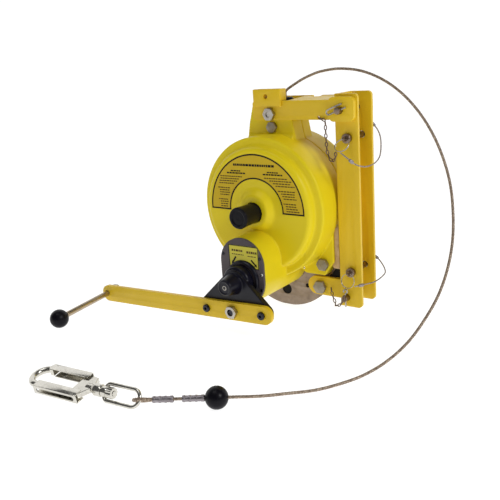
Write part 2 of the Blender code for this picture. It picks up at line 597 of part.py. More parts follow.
def make_shift_knob():
    """Push knob, widest at its front rim, with a bore that clears the drum shaft."""
    turned("shift_knob", [(0, -0.0452), (0.0106, -0.0452), (0.0112, -0.0465), (0.0150, -0.0465),
                          (0.0160, -0.0450), (0.0149, -0.0200), (0.0149, 0.0077), (0.0125, 0.0077),
                          (0.0125, -0.0060), (0, -0.0060)], (BLACK, 0.45, 0.0), (0, 0, -KNOB_DROP), sides=32)


def make_crank_shaft():
    centre = (0, 0, CRANK_Z)
    turned("crank_shaft", [(0, -0.0700), (0.0080, -0.0700), (0.0080, 0.0300), (0, 0.0300)],
           (STEEL, 0.3, 1.0), centre, sides=20)
    phase = math.radians(90 + 180 / PINION_TEETH)
    plate("pinion", [gear_outline(PINION_TEETH, GEAR_MODULE * PINION_TEETH / 2, phase),
                     circle(0, 0, 0.0083, 20)], 0.0130, (STEEL, 0.35, 1.0), (0, 0.0190, CRANK_Z), FACE_FRONT)
    ratchet = []
    for k in range(12):
        start = math.radians(90 + 30 * k)
        ratchet += [(0.0175 * math.cos(start), 0.0175 * math.sin(start)),
                    (0.0230 * math.cos(start + 0.06), 0.0230 * math.sin(start + 0.06))]
    plate("load_ratchet", [ratchet, circle(0, 0, 0.0083, 20)], 0.0080, (STEEL, 0.4, 1.0),
          (0, -0.0140, CRANK_Z), FACE_FRONT)
    pawl = arc(0, 0, 0.0050, 60, 250, 6) + [(0.0150, -0.0042), (0.0165, -0.0035), (0.0150, 0.0005)]
    plate("load_pawl", [pawl, circle(0, 0, 0.0022, 12)], 0.0070, (STEEL, 0.4, 1.0),
          (-0.0180, -0.0140, -0.0655), FACE_FRONT)


def make_crank_hub():
    """Black casting on the shaft: collar, a plate that widens down to the arm, and the round hub."""
    look = (BLACK, 0.32, 0.0)
    side = arc(0.0500, -0.0385, 0.0130, -95, 45, 5)
    delta = arc(0, 0, 0.0195, 35, 145, 6) + [(-x, z) for x, z in reversed(side)] + side
    body = plate("crank_hub", [delta], 0.0090, look, (0, ARM_Y + 0.0115, CRANK_Z), FACE_FRONT)
    hub = [(0, -0.0900), (0.0105, -0.0900), (0.0122, -0.0885), (0.0158, -0.0640), (0.0210, -0.0600),
           (0.0210, -0.0520), (0.0175, -0.0470), (0, -0.0470)]
    boolean(body, turned("hub_turned", hub, None, (0, 0, CRANK_Z), sides=28), "UNION")
    boolean(body, add("hub_bore", rod("hub_bore", 0.0083, 0.04, 20), None, (0, -0.0703, CRANK_Z), ALONG_Y))
    boolean(body, add("hub_recess", rod("hub_recess", 0.0046, 0.02), None, (0, -0.1080, CRANK_Z), ALONG_Y))


def make_crank_arm():
    arm = new_empty("arm_axis", (0, ARM_Y, -0.1345), (0, -ARM_TILT, 0), LIFELINE)
    holes = [circle(x, 0, 0.0036, 12) for x in SCREW_X] + [circle(0, 0, 0.0046, 14),
                                                             circle(ROD_X, 0, 0.0050, 16)]
    body = plate("crank_arm", [slot(-0.2650, 0, 0.0555, 0, 0.0135), *holes], 0.0065, (GOLD, 0.35, 0.0),
                 (0, 0.00325, 0), FACE_FRONT, arm)
    body.modifiers.new("edge", "BEVEL").width = 0.0008
    body.modifiers["edge"].limit_method = "ANGLE"
    for name, x in (("arm_screw_left", SCREW_X[0]), ("arm_screw_right", SCREW_X[1])):
        turned(name, [(0, -0.0017), (0.0022, -0.0017), (0.0022, -0.0040), (0.0050, -0.0040),
                      (0.0060, -0.0028), (0.0060, -GAP), (0.0033, -GAP), (0.0033, 0.0065), (0, 0.0065)],
               (BLACK, 0.3, 0.6), (x, 0, 0), ALONG_Y, 16, arm)
    nut = add("arm_nut", rod("arm_nut", 0.0100, 0.0060, 6), (ZINC, 0.3, 0.9), (0, -0.0060 - GAP, 0), ALONG_Y,
              arm)
    boolean(nut, add("arm_stud", rod("arm_stud", 0.0042, 0.0145, 14), None, (0, -0.0080, 0), ALONG_Y, arm),
            "UNION")


def make_handle():
    """Rod through the arm's end, with its nut behind the arm and a ball that turns on its front end."""
    axis = new_empty("handle_axis", (ROD_X * math.cos(ARM_TILT), ARM_Y + 0.00325,
                                     -0.1345 + ROD_X * math.sin(ARM_TILT)), (ROD_DROP, 0, ROD_YAW), LIFELINE)
    turned("handle_rod", [(0, KNOB_AT - 0.0003), (0.0030, KNOB_AT - 0.0003), (0.0030, KNOB_AT + 0.0151),
                          (0.0045, KNOB_AT + 0.0151), (0.0045, 0.0220), (0, 0.0220)],
           ((0.55, 0.47, 0.38), 0.3, 0.9), sides=16, parent=axis)
    turned("rod_nut", [(0.0055, 0.0150), (0.0085, 0.0150), (0.0085, 0.0205), (0.0055, 0.0205)],
           (ZINC, 0.35, 0.9), sides=6, parent=axis)
    knob = add("handle_knob", ball("handle_knob", 0.0148, 24), (BLACK, 0.4, 0.0), (0, KNOB_AT, 0), ALONG_Y,
               axis)
    boolean(knob, add("knob_bore", rod("knob_bore", 0.0033, 0.0200, 16), None, (0, KNOB_AT - 0.0006, 0),
                      ALONG_Y, axis))


# Rope end and snap hook

def make_rope():
    """One smooth route, which ends on the straight line through the ball and both ferrules."""
    eye, line = Vector(EYE_BAR), (Vector(BALL) - Vector(EYE_BAR)).normalized()
    end = [tuple(eye + line * distance) for distance in ROPE_IN_BALL]
    tube("rope", through(ROPE_ROUTE + end, 0.0170), ROPE_RADIUS, (STEEL, 0.5, 0.6))


def make_rope_end():
    """Along the rope's last straight stretch, from the eye on the bail out to the ball."""
    away = Vector(BALL) - Vector(EYE_BAR)
    line = new_empty("rope_end", EYE_BAR, away.to_track_quat("X", "Z").to_euler(), LIFELINE)
    bore = ROPE_RADIUS + GAP
    eye = tube("rope_eye", [(0.0008 + x, y, 0) for x, y in circle(0, 0, 0.0086, 20)], 0.0024,
               (STEEL, 0.4, 0.9), True, turn=(math.radians(EYE_LEAN_DEG), 0, 0), parent=line)
    boolean(eye, add("eye_neck", rod("eye_neck", 0.0038, 0.0045, 14), None, (0.0103, 0, 0), ALONG_X, line),
            "UNION")
    for name, start, length in (("ferrule_b", 0.0151, 0.0250), ("ferrule_a", 0.0510, 0.0265)):
        turned(name, [(bore, 0), (0.0042, 0), (0.0042, length), (bore, length)],
               ((0.45, 0.43, 0.44), 0.45, 0.8), (start, 0, 0), ALONG_X, 14, line)
    middle = BALL_AT
    body = add("stopper_ball", ball("stopper_ball", 0.0140, 24), ((0.010, 0.010, 0.012), 0.45, 0.0),
               (middle, 0, 0), ALONG_X, line)
    boolean(body, add("ball_bore", rod("ball_bore", 0.0029, 0.05, 14), None, (middle - 0.025, 0, 0), ALONG_X,
                      line))


def make_hook():
    """The bail lies tilted on the rope's eye. The hook's local +X runs from the bail to its tip."""
    axis = new_empty("hook_axis", SWIVEL, (HOOK_ROLL, 0, HOOK_YAW), LIFELINE)
    look = ((0.62, 0.60, 0.52), 0.3, 1.0)
    tilt = (BAIL_TILT, 0, 0)
    oval = arc(-0.0425, 0, BAIL_HALF, 90, 270, 10) + arc(-0.0060, -0.0046, 0.0060, -90, 0, 3) \
        + arc(-0.0060, 0.0046, 0.0060, 0, 90, 3)
    bail = tube("swivel_bail", [(x, y, 0) for x, y in oval], 0.0026, look, True, turn=tilt, parent=axis)
    boolean(bail, add("bail_boss", rod("bail_boss", 0.0068, 0.0080, 20), None, (-0.0040, 0, 0), ALONG_X,
                      axis), "UNION")
    boolean(bail, add("bail_bore", rod("bail_bore", 0.0036, 0.02, 16), None, (-0.01, 0, 0), ALONG_X, axis))
    turned("swivel_nut", [(0.0034, -0.0135), (0.0065, -0.0135), (0.0072, -0.0127), (0.0072, -0.0051),
                          (0.0065, -0.0043), (0.0034, -0.0043)], look, turn=ALONG_X, sides=20, parent=axis)
    bar = ([(0.0400, 0.0150), (0.0480, HOOK_HALF), (HOOK_BOW - 0.003, HOOK_HALF)]
           + arc(HOOK_BOW, 0, HOOK_HALF, 80, -84, 12) + [(HOOK_BOW - 0.002, -HOOK_HALF)])
    hook = tube("hook_body", [(x, y, 0) for x, y in bar], 0.0045, look, resolution=3, parent=axis)
    base = [(0.0200, -0.0055), (0.0245, -0.0172), (0.0380, -0.0185), (0.0415, -0.0165), (0.0440, -0.0110),
            (0.0440, 0.0120), (0.0480, 0.0195), (0.0290, 0.0195), (0.0210, 0.0055)]
    boolean(hook, plate("hook_base", [base], 0.0070, None, turn=(0, 0, 0), parent=axis), "UNION")
    boolean(hook, turned("hook_stem", [(0, -0.0140), (0.0031, -0.0140), (0.0031, 0.0043), (0.0072, 0.0043),
                                       (0.0080, 0.0060), (0.0080, 0.0150), (0.0055, 0.0190), (0.0055, 0.0290),
                                       (0, 0.0290)], None, turn=ALONG_X, sides=20, parent=axis), "UNION")
    nose = [(-0.0055, -0.0225), (0.0005, -0.0225), (0.0030, -0.0160), (0.0005, -0.0105), (-0.0055, -0.0105)]
    boolean(hook, plate("hook_nose", [[(HOOK_BOW + x, y) for x, y in nose]], 0.0100, None, turn=(0, 0, 0),
                        parent=axis), "UNION")
    for name, pivot, radius in (("gate_pin_hole", GATE_PIVOT, 0.0020),
                                ("lock_pin_hole", LOCK_PIVOT, 0.0017)):
        boolean(hook, add(name, rod(name, radius, 0.03, 12), None, (*pivot, -0.015), (0, 0, 0), axis))
    gate = channel("hook_gate", -0.0105, -0.0215, 0.0065, HOOK_BOW - 0.0060 - 0.0365, look,
                   (0.0365, 0, 0), axis)
    boolean(gate, add("gate_pin", rod("gate_pin", 0.0016, 0.0125, 12), None, (*GATE_PIVOT, -0.00625),
                      (0, 0, 0), axis), "UNION")
    lock = channel("hook_lock", 0.0135, 0.0258, 0.0064, 0.0720, look, (0.0260, 0, 0), axis)
    boolean(lock, add("lock_pin", rod("lock_pin", 0.0013, 0.0123, 12), None, (*LOCK_PIVOT, -0.00615),
                      (0, 0, 0), axis), "UNION")


def make_object():
    make_front_cover()
    make_rear_housing()
    make_frame_plate()
    make_gearbox_plate()
    make_rope_outlet()
    make_leg_channel()
    make_upper_arm()
    make_lower_arm()
    make_bolts()
    make_clevis_pins()
    make_detent_pins()
    make_lanyards_and_chains()
    make_shaft()
    make_drum()
    make_brake()
    make_power_spring()
    make_drum_gear()
    make_clutch()
    make_shift_knob()
    make_crank_shaft()
    make_crank_hub()
    make_crank_arm()
    make_handle()
    make_rope()
    make_rope_end()
    make_hook()


clear_scene()
PARTS = new_collection("self_retracting_lifeline")
CUTTERS = new_collection("cutters")
LIFELINE = new_empty("lifeline", [-c for c in LEG_SEAT])
make_object()
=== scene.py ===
"""Looks of the self retracting lifeline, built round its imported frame.

Shapes are made in the housing's own frame, as in the CAD: the drum turns about Y through X = 0, Z = 0,
Y = 0 is the front face of the cover and +Z is up. HOUSING is that frame's origin. Sizes are in metres,
apart from the points given to metres().
"""

import random
from math import acos, atan2, copysign, cos, degrees, pi, radians, sin, sqrt

import bmesh
import bpy
from mathutils import Euler, Matrix, Vector


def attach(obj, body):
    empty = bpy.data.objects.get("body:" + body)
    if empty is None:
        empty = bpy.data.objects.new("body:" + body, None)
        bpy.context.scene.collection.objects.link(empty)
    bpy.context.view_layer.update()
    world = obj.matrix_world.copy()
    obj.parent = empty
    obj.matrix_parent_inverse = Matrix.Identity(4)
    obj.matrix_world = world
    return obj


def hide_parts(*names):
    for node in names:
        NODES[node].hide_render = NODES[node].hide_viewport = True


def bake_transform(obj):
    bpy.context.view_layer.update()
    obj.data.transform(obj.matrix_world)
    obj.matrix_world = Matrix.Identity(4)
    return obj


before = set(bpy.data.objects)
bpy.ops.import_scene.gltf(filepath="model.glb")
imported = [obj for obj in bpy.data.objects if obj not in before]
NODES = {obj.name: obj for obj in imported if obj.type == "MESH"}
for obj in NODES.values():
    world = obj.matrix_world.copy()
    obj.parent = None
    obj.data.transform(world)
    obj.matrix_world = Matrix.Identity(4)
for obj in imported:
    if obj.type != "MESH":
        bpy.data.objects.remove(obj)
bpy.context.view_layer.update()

HOUSING = Vector((-0.115, -0.0735, -0.007))

# View, floor and light. Powers are in watts, the sky is what lights the object.
AZIMUTH, ELEVATION, ROLL = (radians(a) for a in (37.19, 16.09, -4.06))
CAMERA_AT = (0.4794, -0.8794, 0.2213)
LENS, SENSOR = 49.7, 36
MIDDLE = (-0.05, -0.1, 0)
FLOOR_Z = -0.179
FLOOR_GLOW = 0.92
SKY = 0.1
KEY_POWER = 22
TOP_POWER = 9
WHITE = (1, 1, 1, 1)

# Looks only
HOOK_VOXEL = 0.00045
LABEL_INNER, LABEL_OUTER = 0.0468, 0.084
INK = 0.0001

# Sizes shared with the CAD
COVER_RADIUS = 0.107
FACE_RADIUS = 0.088
SEAM_Y = 0.0747
WALL = 0.005
ROPE_X = 0.017
ROPE_Y = 0.0735
CRANK_Z = -0.094
CRANK = (0, 0, CRANK_Z)
BOSS_TOP_Z = -0.07
BOSS_RADIUS = 0.039
BOSS_FRONT = -0.0415
PLATE_FRONT = -0.045
ROPE_RADIUS = 0.002
PIN_X = 0.129
PIN_Z = (0.102, -0.094)
PIN_TAB_Y = 0.04
UPPER_CLEVIS = (0.122, 0.141)
LOWER_CLEVIS = (0.1205, -0.135)
ARM_BOLT = (0.004, 0.136)
NECK_BOLT = (0.004, 0.1165)
FOOT_BOLT = (0.082, -0.088)
LUG_BOLT = (0.075, -0.125)
PLATE_HOLES = ((-0.0006, -0.146, 0.009), (0.039, -0.135, 0.0035))
ARM_TILT = radians(2.8)
ARM_Y = -0.075
ARM_Z = -0.1345
ARM_THICK = 0.0065
ARM_SCREWS = {"left": -0.0485, "right": 0.052}
ROD_X = -0.268
ROD_TURN = (radians(3.5), 0, radians(2.4))
KNOB_AT = -0.11
KNOB_DROP = 0.002
SWIVEL = (-0.02, -0.3085, -0.16)
HOOK_TURN = (radians(-10), 0, radians(186))
BAIL_TILT = radians(-46)
HOOK_BOW = 0.104
GATE_PIN = (0.0395, -0.0145)
LOCK_PIN = (0.0515, 0.016)
ARM_HALF = 0.0135
GRIP_RADIUS = 0.0146
STOPPER_RADIUS = 0.014
EYE_BAR = Vector((0.0342, -0.3028, -0.16))
BALL = Vector((0.1135, -0.2565, -0.158))
EYE_LEAN = radians(-34)


def metres(*points):
    """Points given in millimetres."""
    return [tuple(c / 1000 for c in point) for point in points]


ROPE_ROUTE = metres(
    (17, 73.5, 151.5), (16.3, 73.5, 156), (14.1, 73.6, 161), (14, 74, 165.5), (17, 74.5, 169),
    (22.5, 75.5, 172.5), (31, 78, 177.5), (41, 81, 183), (53, 85, 188), (67, 90, 192.2),
    (92.5, 97.5, 194.5), (124, 103, 190), (155, 105.5, 177.5), (184, 105, 158.5), (210.5, 101.5, 133.5),
    (233.5, 95, 104.5), (252.5, 85.5, 73), (267.5, 73, 40), (277.5, 57.5, 6.5), (284, 39.5, -26.5),
    (285.5, 19.5, -58), (282.5, -3.5, -87.5), (274.5, -28, -113.5), (263.5, -54.5, -136.5),
    (249, -82, -153.5), (231.5, -110.5, -164.5), (212.5, -139, -169), (193.5, -168.5, -169),
    (174, -198, -164.5), (154, -225, -160.5), (129, -247.5, -157.5))
ROPE_IN_BALL = (0.11, 0.0918, 0.065, 0.04, 0.0154)
UPPER_LANYARD = metres(
    (129, 27.8, 85.3), (138.9, 31, 76.5), (145.8, 40, 67.2), (154.1, 54, 62.4), (161.4, 68, 65.9),
    (162.5, 82, 75.3), (156.9, 96, 93.6), (150, 102, 106), (142, 102, 116), (137, 99.5, 122))
LOWER_LANYARD = metres(
    (140.5, 37, -111), (150.7, 47, -109.5), (161.3, 62, -107.7), (167.9, 78, -100.7), (164.2, 88, -96.3),
    (153.3, 98, -89.5), (144, 102, -84), (136, 100, -79))
UPPER_CHAIN = metres(
    (87.8, 42, 130.7), (98, 41.5, 126.7), (99.3, 41, 114.3), (100.2, 40, 101.8), (101.7, 39, 86.5),
    (105.7, 37, 77.1), (110.9, 36, 72.1), (117, 33.5, 76), (119.5, 31.5, 82))
LOWER_CHAIN = metres(
    (95.1, 47, -122.4), (99, 44, -132.8), (104, 42, -142.5), (108.5, 37, -145.6), (118.9, 34, -140),
    (125, 33, -125))

FACE_FRONT = (pi / 2, 0, 0)
SECTION = (pi / 2, 0, pi / 2)
ALONG_Y = (-pi / 2, 0, 0)
ALONG_X = (0, pi / 2, 0)
NO_TURN = (0, 0, 0)


# Camera, floor and light

def matrix_at(at=(0, 0, 0), turn=NO_TURN):
    return Matrix.Translation(Vector(at)) @ Euler(turn).to_matrix().to_4x4()


def linked(name, data):
    obj = bpy.data.objects.new(name, data)
    bpy.context.scene.collection.objects.link(obj)
    return obj


def make_camera():
    back = Vector((sin(AZIMUTH) * cos(ELEVATION), -cos(AZIMUTH) * cos(ELEVATION), sin(ELEVATION)))
    right = Vector((cos(AZIMUTH), sin(AZIMUTH), 0))
    up = back.cross(right)
    across = cos(ROLL) * right + sin(ROLL) * up
    upward = cos(ROLL) * up - sin(ROLL) * right
    data = bpy.data.cameras.new("camera")
    data.lens, data.sensor_width = LENS, SENSOR
    camera = linked("camera", data)
    turn = Matrix((across, upward, back)).transposed().to_4x4()
    camera.matrix_world = Matrix.Translation(CAMERA_AT) @ turn
    bpy.context.scene.camera = camera


def add_light(name, at, size, power):
    data = bpy.data.lights.new(name, "AREA")
    data.shape, data.size, data.energy = "DISK", size, power
    light = linked(name, data)
    light.location = at
    light.rotation_euler = (Vector(MIDDLE) - Vector(at)).to_track_quat("-Z", "Y").to_euler()


def make_floor():
    """A pale sweep that glows and curves up behind the object."""
    bend, half, top = 3, 25, 12
    section = [(-20, 0), (4, 0), *((4 + bend * sin(a), bend - bend * cos(a)) for a in
                                   (radians(9 * i) for i in range(1, 11))), (7, top)]
    bm = bmesh.new()
    rows = [[bm.verts.new((across, back, up)) for across in (-half, half)] for back, up in section]
    for a, b in zip(rows, rows[1:]):
        bm.faces.new((a[0], a[1], b[1], b[0]))
    floor = linked("floor", shaded(mesh_from(bm, "floor"), 60))
    floor.location.z = FLOOR_Z
    floor.rotation_euler.z = AZIMUTH
    pale = paint("floor_pale", (0.35, 0.35, 0.35), 0.9, 0.1, fleck=0.01, scale=3)
    glow = pale.node_tree.nodes["Principled BSDF"]
    glow.inputs["Emission Color"].default_value = WHITE
    glow.inputs["Emission Strength"].default_value = FLOOR_GLOW
    floor.data.materials.append(pale)


def make_studio():
    """The floor, a surround that is dim to the object and white to the camera, and two soft lights."""
    make_floor()
    world = bpy.data.worlds.new("studio")
    world.use_nodes = True
    tree = world.node_tree
    seen = tree.nodes.new("ShaderNodeLightPath").outputs["Is Camera Ray"]
    strength = tree.nodes.new("ShaderNodeMapRange")
    strength.inputs["To Min"].default_value, strength.inputs["To Max"].default_value = SKY, 1
    tree.links.new(seen, strength.inputs["Value"])
    background = tree.nodes["Background"]
    background.inputs["Color"].default_value = WHITE
    tree.links.new(strength.outputs["Result"], background.inputs["Strength"])
    bpy.context.scene.world = world
    bpy.context.scene.view_settings.view_transform = "Standard"
    add_light("key", (1.95, -0.45, 1.35), 0.7, KEY_POWER)
    add_light("top", (-0.3, -0.9, 2.4), 1.2, TOP_POWER)


# Materials

class Nodes:
    """Makes and links the nodes of one material."""

    def __init__(self, name):
        self.material = bpy.data.materials.new(name)
        self.material.use_nodes = True
        self.tree = self.material.node_tree
        self.shader = self.tree.nodes["Principled BSDF"]
        self.place = self.add("ShaderNodeTexCoord").outputs["Object"]

    def add(self, kind, settings=(), **inputs):
        node = self.tree.nodes.new(kind)
        for key, value in dict(settings).items():
            setattr(node, key, value)
        for key, value in inputs.items():
            self.put(node.inputs[key.replace("_", " ")], value)
        return node

    def put(self, socket, value):
        if isinstance(value, bpy.types.NodeSocket):
            self.tree.links.new(value, socket)
        else:
            socket.default_value = value

    def noise(self, scale, detail=3.0, stretch=None):
        place = self.place
        if stretch:
            place = self.add("ShaderNodeMapping", Vector=place, Scale=stretch).outputs["Vector"]
        return self.add("ShaderNodeTexNoise", Vector=place, Scale=scale, Detail=detail).outputs["Fac"]

    def ramp(self, value, low, high, from_low=0.3, from_high=0.7):
        node = self.add("ShaderNodeMapRange", Value=value)
        for socket, number in zip(node.inputs[1:5], (from_low, from_high, low, high)):
            socket.default_value = number
        return node.outputs["Result"]

    def mix(self, factor, a, b):
        node = self.add("ShaderNodeMix", {"data_type": "RGBA"})
        self.put(node.inputs["Factor"], factor)
        for socket, colour in zip((node.inputs[6], node.inputs[7]), (a, b)):
            self.put(socket, colour if isinstance(colour, bpy.types.NodeSocket) else (*colour, 1))
        return node.outputs[2]

    def bump(self, *heights):
        """Each height is (value, distance in metres). The bumps add up."""
        normal = None
        for value, distance in heights:
            node = self.add("ShaderNodeBump", Height=value, Distance=distance, Strength=1.0)
            if normal is not None:
                self.put(node.inputs["Normal"], normal)
            normal = node.outputs["Normal"]
        self.put(self.shader.inputs["Normal"], normal)

    def finish(self, colour, roughness, metallic=0.0, specular=0.5):
        self.put(self.shader.inputs["Base Color"], colour)
        self.put(self.shader.inputs["Roughness"], roughness)
        self.shader.inputs["Metallic"].default_value = metallic
        self.shader.inputs["Specular IOR Level"].default_value = specular
        return self.material


def scaled(colour, factor):
    return tuple(min(1.0, c * factor) for c in colour)


def paint(name, colour, roughness=0.35, specular=0.5, fleck=0.06, scale=18, peel=0.00003):
    """Enamel or powder coat: clouded colour, dust in the roughness and orange peel."""
    n = Nodes(name)
    cloud = n.ramp(n.noise(scale, 4), 0, 1)
    tint = n.mix(cloud, scaled(colour, 1 - fleck), scaled(colour, 1 + fleck))
    dust = n.ramp(n.noise(260, 2), 0, 1, 0.62, 0.78)
    tint = n.mix(dust, tint, scaled(colour, 1 - 2 * fleck))
    n.bump((n.noise(420, 2), peel), (n.noise(90, 2), peel * 2))
    rough = n.ramp(n.noise(40, 3), roughness * 0.85, roughness * 1.2)
    return n.finish(tint, rough, 0.0, specular)


def moulded(name, colour, roughness=0.5, grain=0.00006, scale=900, specular=0.15):
    """Moulded plastic or rubber with a fine grain and a little dust."""
    n = Nodes(name)
    dust = n.ramp(n.noise(60, 4), 0, 1, 0.45, 0.8)
    tint = n.mix(dust, colour, tuple(c + 0.006 for c in colour))
    n.bump((n.noise(scale, 2), grain))
    rough = n.ramp(n.noise(50, 3), roughness * 0.85, roughness * 1.15)
    return n.finish(tint, rough, 0.0, specular)


def metal(name, colour, roughness=0.35, stretch=None, stain=(0.55, 0.5, 0.45), stained=0.25, grain=0.00002):
    """Plated or brushed metal: clouded tint, fine scratches along the short stretch and stains."""
    n = Nodes(name)
    cloud = n.ramp(n.noise(70, 5), 0, 1)
    stain_colour = tuple(c * s for c, s in zip(colour, stain))
    tint = n.mix(cloud, scaled(colour, 0.93), scaled(colour, 1.06))
    spots = n.ramp(n.noise(180, 4), 0, stained, 0.5, 0.72)
    tint = n.mix(spots, tint, stain_colour)
    scratch = n.noise(300, 3, stretch or (1, 1, 1))
    n.bump((scratch, grain), (n.noise(120, 2), grain * 2))
    rough = n.ramp(n.noise(110, 4), roughness * 0.75, roughness * 1.35)
    return n.finish(tint, rough, 1.0)


def stranded(name, colour, valley_shade, pitch_scale=450):
    """Wire: noise mixes the light wires with a deeper colour that is painted shade in the lays between them.
    """
    n = Nodes(name)
    wires = n.ramp(n.noise(pitch_scale, 2), 0, 1)
    n.bump((n.noise(pitch_scale * 2, 2), 0.00003))
    return n.finish(n.mix(wires, valley_shade, colour), n.ramp(wires, 0.6, 0.38), 0.75)


def make_looks():
    lemon = (0.84, 0.67, 0.012)
    gold = (0.81, 0.55, 0.018)
    return {
        "housing_yellow": paint("lemon_enamel", lemon, 0.36, 0.22, fleck=0.02),
        "bracket_yellow": paint("golden_powder_coat", gold, 0.38, 0.3, fleck=0.04),
        "label": paint("label_film", (0.66, 0.46, 0.018), 0.36, 0.15, fleck=0.02, peel=0.00001),
        "sticker": paint("sticker_film", (0.72, 0.64, 0.075), 0.36, 0.15, fleck=0.02, peel=0.00001),
        "ink": moulded("label_ink", (0.01, 0.008, 0.006), 0.5, 0.00001),
        "faded_ink": moulded("faded_ink", (0.1, 0.058, 0.01), 0.5, 0.00001),
        "plate_steel": metal("mill_plate", (0.3, 0.235, 0.18), 0.48, (1, 1, 12)),
        "gearbox_grey": paint("grey_enamel", (0.095, 0.078, 0.086), 0.42, 0.3, fleck=0.08),
        "black_plastic": moulded("black_plastic", (0.004, 0.0035, 0.0065), 0.36, specular=0.14),
        "black_enamel": paint("black_enamel", (0.0028, 0.0026, 0.01), 0.33, 0.32, fleck=0.2),
        "black_oxide": metal("black_oxide", (0.045, 0.045, 0.055), 0.3),
        # A flat black used as painted shade: it fills the frame plate's holes and colours the foot pad in the
        # gap behind the housing's foot.
        "pad_rubber": moulded("pad_rubber", (0.01, 0.009, 0.009), 0.75, 0.0001, 500),
        "zinc": metal("zinc_plate", (0.46, 0.43, 0.38), 0.28, stained=0.3),
        "dull_zinc": metal("dull_zinc_plate", (0.36, 0.32, 0.26), 0.5, stained=0.4),
        "pin_steel": metal("pin_steel", (0.27, 0.2, 0.15), 0.3, (1, 10, 1)),
        "chain_bronze": metal("tarnished_links", (0.2, 0.14, 0.1), 0.36, stained=0.6),
        "rod_tan": metal("passivated_rod", (0.46, 0.38, 0.28), 0.34, (1, 14, 1)),
        # The two wire looks carry painted shade in their lays.
        "rope_wire": stranded("rope_wires", (0.6, 0.49, 0.38), (0.24, 0.175, 0.13)),
        "lanyard_wire": stranded("lanyard_wires", (0.6, 0.52, 0.46), (0.22, 0.18, 0.16), 700),
        "ferrule": metal("swaged_sleeve", (0.34, 0.31, 0.33), 0.42, (12, 1, 1), stained=0.5),
        "hook_plating": metal("hook_plating", (0.66, 0.64, 0.58), 0.2, stained=0.3),
        "bright": metal("bright_screw", (0.85, 0.84, 0.8), 0.18),
        "shaft_steel": metal("machined_steel", (0.52, 0.52, 0.53), 0.3, (10, 1, 10)),
        "ratchet_steel": metal("hardened_steel", (0.36, 0.36, 0.39), 0.34),
        "drum_aluminium": metal("turned_aluminium", (0.72, 0.72, 0.74), 0.36, (12, 1, 12)),
        "bearing_bronze": metal("oiled_bronze", (0.6, 0.4, 0.15), 0.34),
        "shim": metal("tan_shim", (0.6, 0.43, 0.24), 0.5, (1, 1, 8), stained=0.2),
        "friction_lining": moulded("friction_lining", (0.1, 0.07, 0.05), 0.85, 0.0002, 300),
        "spring_steel": metal("blued_strip", (0.17, 0.18, 0.24), 0.28),
    }


# Mesh tools

def baked(obj):
    """The object's mesh with its modifiers applied, and without the object."""
    bpy.context.view_layer.update()
    graph = bpy.context.evaluated_depsgraph_get()
    mesh = bpy.data.meshes.new_from_object(obj.evaluated_get(graph))
    mesh.transform(obj.matrix_world)
    bpy.data.objects.remove(obj, do_unlink=True)
    return mesh


def shaded(mesh, angle=35):
    mesh.shade_smooth()
    mesh.set_sharp_from_angle(angle=radians(angle))
    return mesh


def mesh_from(bm, name="shape"):
    bmesh.ops.recalc_face_normals(bm, faces=bm.faces)
    mesh = bpy.data.meshes.new(name)
    bm.to_mesh(mesh)
    bm.free()
    return mesh


def moved(mesh, at=(0, 0, 0), turn=NO_TURN):
    mesh.transform(matrix_at(at, turn))
    return mesh


def joined(meshes):
    bm = bmesh.new()
    for mesh in meshes:
        bm.from_mesh(mesh)
    made = bpy.data.meshes.new("joined")
    bm.to_mesh(made)
    bm.free()
    return made


def combined(base, others, operation):
    obj = linked("base", base)
    helpers = [linked("helper", mesh) for mesh in others]
    for helper in helpers:
        step = obj.modifiers.new("step", "BOOLEAN")
        step.operation, step.object, step.solver = operation, helper, "EXACT"
    mesh = baked(obj)
    for helper in helpers:
        bpy.data.objects.remove(helper, do_unlink=True)
    return mesh


def cut(base, *others):
    return combined(base, others, "DIFFERENCE")


def united(base, *others):
    return combined(base, others, "UNION")


def modified(mesh, *steps):
    """The mesh after modifiers, each (type, settings)."""
    obj = linked("base", mesh)
    for kind, settings in steps:
        step = obj.modifiers.new(kind, kind)
        for key, value in settings.items():
            setattr(step, key, value)
    return baked(obj)


def cast(mesh, voxel, passes=6, angle=180):
    """Soft edged like a casting: an even skin of voxels, smoothed."""
    made = modified(mesh, ("REMESH", {"mode": "VOXEL", "voxel_size": voxel}),
                    ("SMOOTH", {"factor": 0.5, "iterations": passes}))
    return shaded(made, angle)


def bevelled(mesh, width, segments=3, angle=30):
    settings = {"width": width, "segments": segments, "limit_method": "ANGLE",
                "angle_limit": radians(angle), "harden_normals": False}
    return shaded(modified(mesh, ("BEVEL", settings)), 40)


def turned(profile, sides=96, at=(0, 0, 0), turn=ALONG_Y):
    """A solid of revolution of the section (radius, distance along the axis), which may start on the axis."""
    bm = bmesh.new()
    rings = []
    for r, along in profile:
        if r == 0:
            rings.append([bm.verts.new((0, 0, along))])
        else:
            rings.append([bm.verts.new((r * cos(a), r * sin(a), along))
                          for a in (2 * pi * i / sides for i in range(sides))])
    closed = profile[0][0] != 0
    pairs = list(zip(rings, rings[1:])) + ([(rings[-1], rings[0])] if closed else [])
    for a, b in pairs:
        if len(a) == 1 and len(b) == 1:
            continue
        for i in range(sides):
            j = (i + 1) % sides
            if len(a) == 1:
                bm.faces.new((a[0], b[i], b[j]))
            elif len(b) == 1:
                bm.faces.new((a[i], a[j], b[0]))
            else:
                bm.faces.new((a[i], a[j], b[j], b[i]))
    return moved(mesh_from(bm), at, turn)


def rounded_profile(points, radius, steps=3):
    """The profile with each inner corner rounded."""
    made = [points[0]]
    for before, corner, after in zip(points, points[1:], points[2:]):
        a, b, c = Vector(before), Vector(corner), Vector(after)
        reach = min(radius, (a - b).length * 0.45, (c - b).length * 0.45)
        start, end = b + (a - b).normalized() * reach, b + (c - b).normalized() * reach
        for k in range(steps + 1):
            t = k / steps
            made.append(tuple((1 - t) ** 2 * start + 2 * t * (1 - t) * b + t * t * end))
    return made + [points[-1]]


